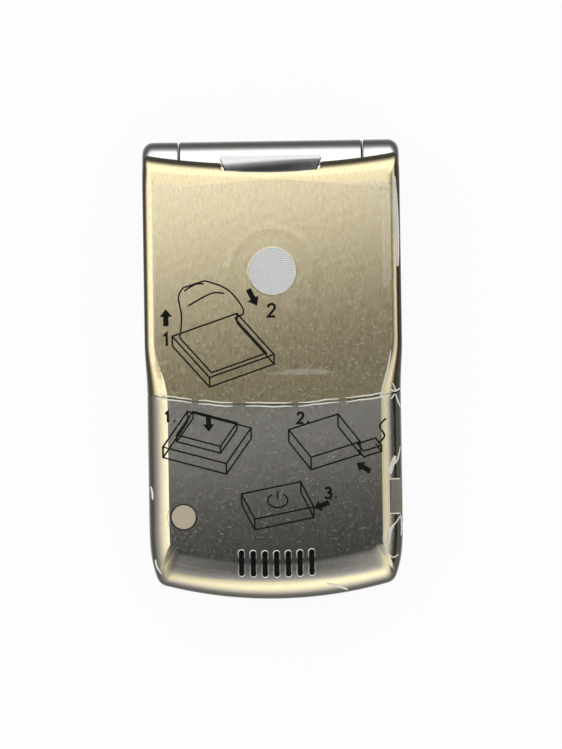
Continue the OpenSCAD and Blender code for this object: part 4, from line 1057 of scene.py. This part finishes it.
# ---------------------------------------------------------------- films
SHEET_T = 0.05
FILM_LIFT, RIPPLE = 0.045, 0.0036
SMEAR = (6.6, -1.3, 5.0, 0.8)  # place and reach of a soft fold in the door's film
HALO_R, HALO_W = 8.8, 0.7


def wave(t, seed, amount):
    rng = random.Random(seed)
    total = 0.0
    for k in (1, 2, 3, 5, 8, 13):
        total += math.sin(t * k + rng.uniform(0, 6.28)) * rng.uniform(0.4, 1.0) / k ** 0.7
    return total * amount / 2.2


def film_sheet(name, side, low, high, lift, nu=120, nv=160):
    """Thin closed sheet over the back. side, low and high give its borders and lift its height."""
    y_low, y_high = low(0), high(0)
    grid = []
    for j in range(nv + 1):
        v = j / nv
        y_mid = between(y_low, y_high, v)
        for i in range(nu + 1):
            u = 2 * i / nu - 1
            x = side(y_mid, 1 if u > 0 else -1) * u
            y = between(low(x), high(x), v)
            grid.append((x, y, surface_z(x, y) + lift(x, y)))
    count, row, faces = len(grid), nu + 1, []
    for j in range(nv):
        for i in range(nu):
            a = j * row + i
            faces.append((a, a + 1, a + row + 1, a + row))
            faces.append((count + a, count + a + row, count + a + row + 1, count + a + 1))
    border = list(range(row)) + [j * row + nu for j in range(1, nv + 1)]
    border += [nv * row + i for i in range(nu - 1, -1, -1)] + [j * row for j in range(nv - 1, 0, -1)]
    faces += [(a, b, count + b, count + a) for a, b in zip(border, border[1:] + border[:1])]
    return new_object(name, grid + [(x, y, z + SHEET_T) for x, y, z in grid], faces)


def lifted_right(x, y):
    """The door film's right edge has come away from the shoulder."""
    return 0.34 * ease((x - 23.3) / 1.6) * ease((y - 15) / 4) * ease((36 - y) / 4)


def door_film_low(x):
    return seam_at(x) + 0.32 + wave(x * 0.35, 11, 0.26)


def chin_film_high(x):
    return seam_at(x) - 0.42 + wave(x * 0.4, 17, 0.26)


def make_films():
    def film_side(y, side, right, left, pace, seed, amount):
        """Half width of a film at a place, with its border at a share of the shoulder."""
        return side_x(y) - shoulder_w(y) * (right if side > 0 else left) + wave(y * pace, seed + side, amount)

    def door_side_x(y, side):
        return film_side(y, side, 0.5, 0.72, 0.3, 3, 0.16)

    def door_high(x):
        return LATCH_FRONT_Y - 2.1 + wave(x * 0.2, 5, 0.12)

    def door_lift(x, y):
        ripple = RIPPLE * (1 + math.sin(1.3 * x + 2.1 * math.sin(0.7 * y)) * math.sin(1.1 * y + 0.4 * x))
        halo = math.exp(-((math.hypot(x, y - BADGE_Y) - HALO_R) / HALO_W) ** 2) * ease((y - BADGE_Y + 3) / 5)
        smear = math.exp(-((x - SMEAR[0]) / SMEAR[2]) ** 2 - ((y - SMEAR[1]) / SMEAR[3]) ** 2)
        return FILM_LIFT + ripple + lifted_right(x, y) + 0.04 * halo + 0.09 * smear

    door_film = film_sheet("door_film_sheet", door_side_x, door_film_low, door_high, door_lift)
    combine(door_film, [disc("hole", 0, BADGE_Y, BADGE_R + 0.35, 5, ABOVE, 96)])
    done(door_film, "door", FILM, ["door_film"], angle=60)

    def chin_side_x(y, side):
        return film_side(y, side, 0.42, 0.7, 0.33, 20, 0.3)

    def chin_low(x):
        return TIP_CY - math.sqrt((TIP_R - 5.2) ** 2 - x * x) + wave(x * 0.3, 31, 0.25)

    def chin_lift(x, y):
        return FILM_LIFT + RIPPLE * (1 + math.sin(1.1 * x - 1.7 * math.sin(0.8 * y)) * math.sin(0.9 * y))

    chin_film = film_sheet("chin_film_sheet", chin_side_x, chin_low, chin_film_high, chin_lift)
    combine(chin_film, [disc("hole", PLUG_X, PLUG_Y, PLUG_R + 0.55, 5, ABOVE, 96),
                        window(0, SLOT_Y + 0.1, SPEAKER_W, SLOT_L + 2.6, 1, 5, ABOVE)])
    done(chin_film, "keypad_half", FILM, ["chin_film"], angle=60)


# ---------------------------------------------------------------- lines, marks and prints
LINE_STEP = 1.5


def resample(path, step):
    out = [path[0]]
    for a, b in zip(path, path[1:]):
        n = max(1, int(math.dist(a, b) / step))
        out += [(a[0] + (b[0] - a[0]) * i / n, a[1] + (b[1] - a[1]) * i / n) for i in range(1, n + 1)]
    return out


def stroke_parts(path, width, base, thick, loop=False):
    """Vertices and faces of a mitred solid line along a path."""
    pts = resample(path + ([path[0]] if loop else []), LINE_STEP)
    if loop:
        pts = pts[:-1]
    n = len(pts)
    verts = []
    for i, (x, y) in enumerate(pts):
        before = pts[i - 1] if (i or loop) else (2 * x - pts[1][0], 2 * y - pts[1][1])
        after = pts[(i + 1) % n] if (i < n - 1 or loop) else (2 * x - pts[i - 1][0], 2 * y - pts[i - 1][1])
        d0 = Vector((x - before[0], y - before[1])).normalized()
        d1 = Vector((after[0] - x, after[1] - y)).normalized()
        across = Vector((-d0.y, d0.x))
        normal = Vector((-(d0 + d1).y, (d0 + d1).x))
        if normal.length < 1e-6:
            normal = across.copy()
        normal.normalize()
        reach = width / 2 / max(0.45, abs(normal.dot(across)))
        lx, ly, rx, ry = x + normal.x * reach, y + normal.y * reach, x - normal.x * reach, y - normal.y * reach
        verts += [(lx, ly, base(lx, ly)), (rx, ry, base(rx, ry)), (rx, ry, base(rx, ry) + thick),
                  (lx, ly, base(lx, ly) + thick)]
    faces = bands(n, 4, loop)
    if not loop:
        faces += [(0, 1, 2, 3), tuple(4 * (n - 1) + k for k in range(4))]
    return verts, faces


def drawing(name, strokes, plates, base, thick):
    """One mesh from lines given as (path, width, loop) and filled plates given as outlines."""
    parts = [stroke_parts(path, width, base, thick, loop) for path, width, loop in strokes]
    parts += [slab_parts(*([(x, y, base(x, y) + rise) for x, y in points] for rise in (0, thick)))
              for points in plates]
    return merged(name, parts)


def bend(points, n=6):
    """Smooth curve through points."""
    out = []
    for i in range(len(points) - 1):
        p0, p1 = points[max(0, i - 1)], points[i]
        p2, p3 = points[i + 1], points[min(len(points) - 1, i + 2)]
        for k in range(n):
            t = k / n
            out.append(tuple(0.5 * (2 * b + (c - a) * t + (2 * a - 5 * b + 4 * c - d) * t * t
                                    + (3 * b - 3 * c + d - a) * t ** 3) for a, b, c, d in zip(p0, p1, p2, p3)))
    return out + [points[-1]]


SIX = [(0.52, 0.9), (0.36, 1.0), (0.2, 0.96), (0.07, 0.78), (0.01, 0.5), (0.03, 0.22), (0.14, 0.04),
       (0.32, 0.0), (0.51, 0.08), (0.59, 0.28), (0.52, 0.48), (0.32, 0.57), (0.14, 0.5), (0.04, 0.34)]
OPEN_GLYPHS = {
    "1": [[(0.1, 0.78), (0.34, 1.0), (0.34, 0.0)]],
    "2": [[(0.03, 0.74), (0.08, 0.89), (0.22, 1.0), (0.4, 1.0), (0.54, 0.9), (0.58, 0.74), (0.52, 0.56),
           (0.02, 0.0), (0.6, 0.0)]],
    "3": [[(0.03, 0.86), (0.15, 0.98), (0.33, 1.0), (0.5, 0.92), (0.55, 0.76), (0.48, 0.6), (0.26, 0.53)],
          [(0.26, 0.53), (0.5, 0.46), (0.59, 0.29), (0.53, 0.1), (0.34, 0.0), (0.14, 0.02), (0.0, 0.15)]],
    "4": [[(0.46, 0.0), (0.46, 1.0), (0.0, 0.28), (0.62, 0.28)]],
    "5": [[(0.55, 1.0), (0.1, 1.0), (0.05, 0.52), (0.2, 0.61), (0.4, 0.6), (0.56, 0.47), (0.59, 0.3),
           (0.52, 0.1), (0.32, 0.0), (0.12, 0.02), (0.0, 0.14)]],
    "6": [SIX],
    "7": [[(0.0, 1.0), (0.6, 1.0), (0.22, 0.0)]],
    "9": [[(0.6 - x, 1.0 - y) for x, y in SIX]],
    "star": [[(0.3 + way * 0.3 * math.cos(a), 0.5 + way * 0.3 * math.sin(a)) for way in (1, -1)]
             for a in (0.0, math.pi / 3, 2 * math.pi / 3)],
    "hash": [[(0.2, 0.1), (0.26, 0.9)], [(0.42, 0.1), (0.48, 0.9)], [(0.02, 0.34), (0.62, 0.34)],
             [(0.06, 0.66), (0.66, 0.66)]],
    "send": [bend([(0.0, 0.35), (0.02, 0.6), (0.3, 0.78), (0.62, 0.6), (0.64, 0.35)])],
    "end": [bend([(-0.04, 0.4), (0.02, 0.62), (0.32, 0.72), (0.62, 0.62), (0.68, 0.4)]),
            [(0.1, 0.2), (0.54, 0.2)]],
    "clear": [[(0.62, 0.5), (0.0, 0.5)], [(0.26, 0.76), (0.0, 0.5), (0.26, 0.24)]],
    "bar": [[(0.1, 0.5), (0.5, 0.5)]]}
ROUND_GLYPHS = {"0": [oval(0.3, 0.5, 0.29, 0.5, 24)],
                "8": [oval(0.3, 0.77, 0.22, 0.23, 16), oval(0.3, 0.27, 0.28, 0.27, 16)]}


def glyph(name, x, y, height, width, flip=1):
    loop = name in ROUND_GLYPHS
    paths = ROUND_GLYPHS[name] if loop else OPEN_GLYPHS[name]
    return [([(x + flip * (px - 0.3) * height, y + (py - 0.5) * height) for px, py in path], width, loop)
            for path in paths]


LINE, BOLD = 0.33, 0.52
INK_LIFT, INK_T = 0.112, 0.02
STEP_H, DOT = 2.2, 0.45
POSTS = ((0, 1), (1, 2), (3, 0), (2, 3))


def arrow_plate(x, y, angle, length=3.4, width=2.4):
    """Block arrow with its tip at a place."""
    c, s = math.cos(angle), math.sin(angle)
    shape = [(0, 0), (-0.45, 0.5), (-0.45, 0.22), (-1, 0.22), (-1, -0.22), (-0.45, -0.22), (-0.45, -0.5)]
    return [(x + c * a * length - s * b * width, y + s * a * length + c * b * width) for a, b in shape]


def box_view(x, y, w, d, h, turn):
    """Corners of the top and of the base of a thin box seen from above one corner."""
    c, s = math.cos(turn), math.sin(turn)

    def at(a, b, z):
        return x + a * w * c - b * d * s, y + (a * w * s + b * d * c) * 0.62 + z * h
    return ([at(a, b, 1) for a, b in ((-0.5, -0.5), (0.5, -0.5), (0.5, 0.5), (-0.5, 0.5))],
            [at(a, b, 0) for a, b in ((-0.5, 0.5), (-0.5, -0.5), (0.5, -0.5), (0.5, 0.5))])


def box_lines(*view, posts=POSTS):
    top, low = box_view(*view)
    return [(top, LINE, True), (low, LINE, False)] + [([top[a], low[b]], LINE, False) for a, b in posts]


def curve(*points):
    return bend(list(points)), LINE, False


def dot(x, y, size=DOT):
    return [(x, y), (x + size, y), (x + size, y + size), (x, y + size)]


def make_prints():
    """Plain step pictures on the films: peel a sheet, put in a cell, connect a plug, switch on."""
    def on_film(x, y):
        return surface_z(x, y) + INK_LIFT

    # Door: a sheet peeled off a slab, with two arrows
    x, y = -10.5, 3.2
    inner, _ = box_view(x, y, 13.2, 13.6, 2.0, 0.5)
    curl, curl_back = (curve(inner[2], (x + 4.4, y + 9.2), (x + 1.2, y + 13.6), (x - 3.6, y + 15.6)),
                       curve(inner[3], (x - 8.6, y + 8.2), (x - 9.2, y + 12.2), (x - 8.2, y + 14.2)))
    strokes = box_lines(x, y, 15.5, 16.0, 2.0, 0.5) + [
        (inner[:3], LINE, False), curl, curl_back, ([curl[0][-1], curl_back[0][-1]], LINE, False),
        ([inner[0], inner[3]], LINE, False),
        curve((x - 3.9, y + 14.9), (x - 5.6, y + 14.9), (x - 8.0, y + 13.5)),
        curve((x + 0.4, y + 12.9), (x - 2.4, y + 12.9), (x - 7.2, y + 10.4))]
    strokes += glyph("1", x - 11.9, y + 3.4, 2.6, BOLD) + glyph("2", x + 10.2, y + 9.2, 2.6, BOLD)
    plates = [arrow_plate(x - 11.9, y + 9.8, math.pi / 2, 3.6, 2.6),
              arrow_plate(x + 7.2, y + 10.2, -1.1, 3.9, 2.6)]
    done(drawing("door_print", strokes, plates, on_film, INK_T), "door", INK, angle=60)

    # Chin, left: a cell that drops into its bay
    x, y = -14.2, -16.2
    strokes = box_lines(x, y, 14.5, 13.0, 2.2, -0.42) + box_lines(x, y + 2.6, 10.0, 8.6, 1.4, -0.42)
    strokes += glyph("1", x - 8.2, y + 6.6, STEP_H, BOLD)
    plates = [dot(x - 7.0, y + 5.5), arrow_plate(x + 0.4, y + 3.4, -math.pi / 2)]

    # Chin, right: a plug that goes into a side
    x, y = 13.4, -16.6
    strokes += box_lines(x - 3.0, y, 11.5, 10.5, 2.6, 0.45)
    strokes += box_lines(x + 6.4, y - 0.6, 4.2, 2.8, 1.2, 0.45, posts=[(1, 2)])
    strokes.append(curve((x + 8.2, y + 0.8), (x + 9.6, y + 2.4), (x + 8.6, y + 4.4), (x + 9.9, y + 6.0)))
    strokes += glyph("2", x - 8.0, y + 6.4, STEP_H, BOLD)
    plates += [dot(x - 6.6, y + 5.3), arrow_plate(x + 3.6, y - 3.2, math.pi * 0.82)]

    # Chin, below: a power ring over a plain handset
    x, y = 2.4, -29.6
    strokes += box_lines(x - 2.0, y, 13.0, 9.0, 2.2, 0.3)
    ring = [(x - 2 + 2.1 * math.sin(a * 0.3), y + 2.2 + 1.5 * math.cos(a * 0.3)) for a in range(2, 20)]
    strokes += [(ring, LINE, False), ([(x - 2, y + 4.2), (x - 2, y + 2.4)], LINE, False)]
    strokes += glyph("3", x + 8.6, y + 3.6, STEP_H, BOLD)
    plates += [dot(x + 10.0, y + 2.5, 0.4), arrow_plate(x + 5.6, y + 0.4, math.pi * 1.12)]
    done(drawing("chin_print", strokes, plates, on_film, INK_T), "keypad_half", INK, angle=60)


# ---------------------------------------------------------------- folds and bubbles of the films
BUBBLES, FOLD_STEP = 260, 0.4
PHOTO_TIP_X, PHOTO_TIP_Y = 277.3, 599.9  # the chin's tip in the picture's frame, in pixels
PHOTO_SCALE = 4.78  # pixels to a millimetre


def ridge_parts(path, width, height, lift):
    """Small rounded fold of film along a path, thinner towards both ends."""
    pts = resample(path, FOLD_STEP)
    n = len(pts)
    verts = []
    for i, (x, y) in enumerate(pts):
        a, b = pts[max(0, i - 1)], pts[min(n - 1, i + 1)]
        along = Vector((b[0] - a[0], b[1] - a[1])).normalized()
        taper = 0.25 + 0.75 * math.sin(math.pi * (i + 0.5) / n) ** 0.5
        for side, rise in ((-1, 0), (-0.55, 0.8), (0, 1), (0.55, 0.8), (1, 0)):
            px, py = x - along.y * side * width / 2 * taper, y + along.x * side * width / 2 * taper
            verts.append((px, py, surface_z(px, py) + lift + rise * height * taper))
    return verts, bands(n, 5) + [tuple(range(5)), tuple(5 * (n - 1) + k for k in range(5))]


def photo_place(px, py):
    """Place on the back, in millimetres, for a place in the picture's frame."""
    phi = math.radians(TURN)
    a, b = (px - PHOTO_TIP_X) / PHOTO_SCALE, (PHOTO_TIP_Y - py) / PHOTO_SCALE
    return a * math.cos(phi) + b * math.sin(phi), TIP_Y + b * math.cos(phi) - a * math.sin(phi)


# Folds of loose film, each as places in the picture's frame, and a width in millimetres
CHIN_FOLDS = [
    ([(400.5, 447), (399, 455), (397, 461), (392, 466), (388.5, 470), (389, 475), (391, 479)], 0.35),
    ([(401.6, 515), (395, 524), (388, 531), (386, 538), (385.6, 545), (388, 552), (392.4, 557.5),
      (399, 555)], 0.4),
    ([(401, 515), (402, 525), (401.5, 536)], 0.3), ([(327, 584), (336, 586), (348, 590)], 0.5),
    ([(155, 560), (157, 568), (162, 575)], 0.4), ([(150.5, 487), (152, 493), (152.5, 500)], 0.45),
    ([(169.5, 508), (168, 513), (167.6, 519), (169, 527)], 0.2), ([(396, 394), (398, 401), (401, 407)], 0.35),
    ([(395, 394), (391, 399)], 0.3), ([(395.5, 456), (392.5, 464), (390.5, 474)], 0.9),
    ([(394, 524), (390, 534), (388.5, 545)], 0.6)]
DOOR_FOLDS = [
    ([(394.4, 176), (395.7, 205), (396.9, 235), (397.8, 266)], 1.0),
    ([(391, 350), (387, 372), (380, 397)], 0.35), ([(390, 389), (395, 391), (401, 388)], 0.35),
    ([(393, 383), (396, 391)], 0.3)]


def make_wrinkles():
    """Folds along the loose edges of the two films, coloured with painted white glints."""
    for name, folds, body in (("chin_folds", CHIN_FOLDS, "keypad_half"), ("door_folds", DOOR_FOLDS, "door")):
        parts = [ridge_parts(bend([photo_place(*p) for p in path], 4), width, 0.12, 0.03)
                 for path, width in folds]
        done(merged(name, parts), body, FILM_GLINT, angle=60)
    for name, body, line in (("seam_edge_low", "keypad_half", chin_film_high),
                             ("seam_edge_high", "door", door_film_low)):
        parts = []
        for x0, x1 in ((-24.6, -17.2), (-15.9, -8.6), (-6.1, 3.8), (5.0, 13.6), (14.9, 24.4)):
            parts.append(ridge_parts([(x, line(x)) for x in spread(x0, x1, 20)], 0.28, 0.1, 0.05))
        done(merged(name, parts), body, FILM_GLINT, angle=60)


def make_bubbles():
    """Specks of trapped air along the upper edge of the door's film."""
    rng = random.Random(5)
    parts = []
    for _ in range(BUBBLES):
        right = rng.random() < 0.4
        x = rng.uniform(19, 25.2) if right else rng.uniform(-24.8, 25.0)
        y = LATCH_FRONT_Y - 2.3 - abs(rng.gauss(0, 5.0 if right else 1.6))
        r = rng.uniform(0.08, 0.17)
        parts.append(slab_parts(*([(px, py, surface_z(px, py) + 0.1 + rise)
                                   for px, py in oval(x, y, k * r, 1.6 * k * r, 6)]
                                  for k, rise in ((1.0, 0.0), (0.6, 0.035)))))
    done(merged("film_bubbles", parts), "door", FILM_SPECK, angle=60)


for make in (make_camera_view, make_sky, make_floor, make_door, make_rear, make_barrel, make_slot_rims,
             make_latch, make_badge, make_plug, make_port, make_films, make_prints, make_wrinkles,
             make_bubbles, make_port_rim, make_front, make_keys, make_cover, make_bezel, make_knuckles,
             make_camera, make_side_keys):
    make()
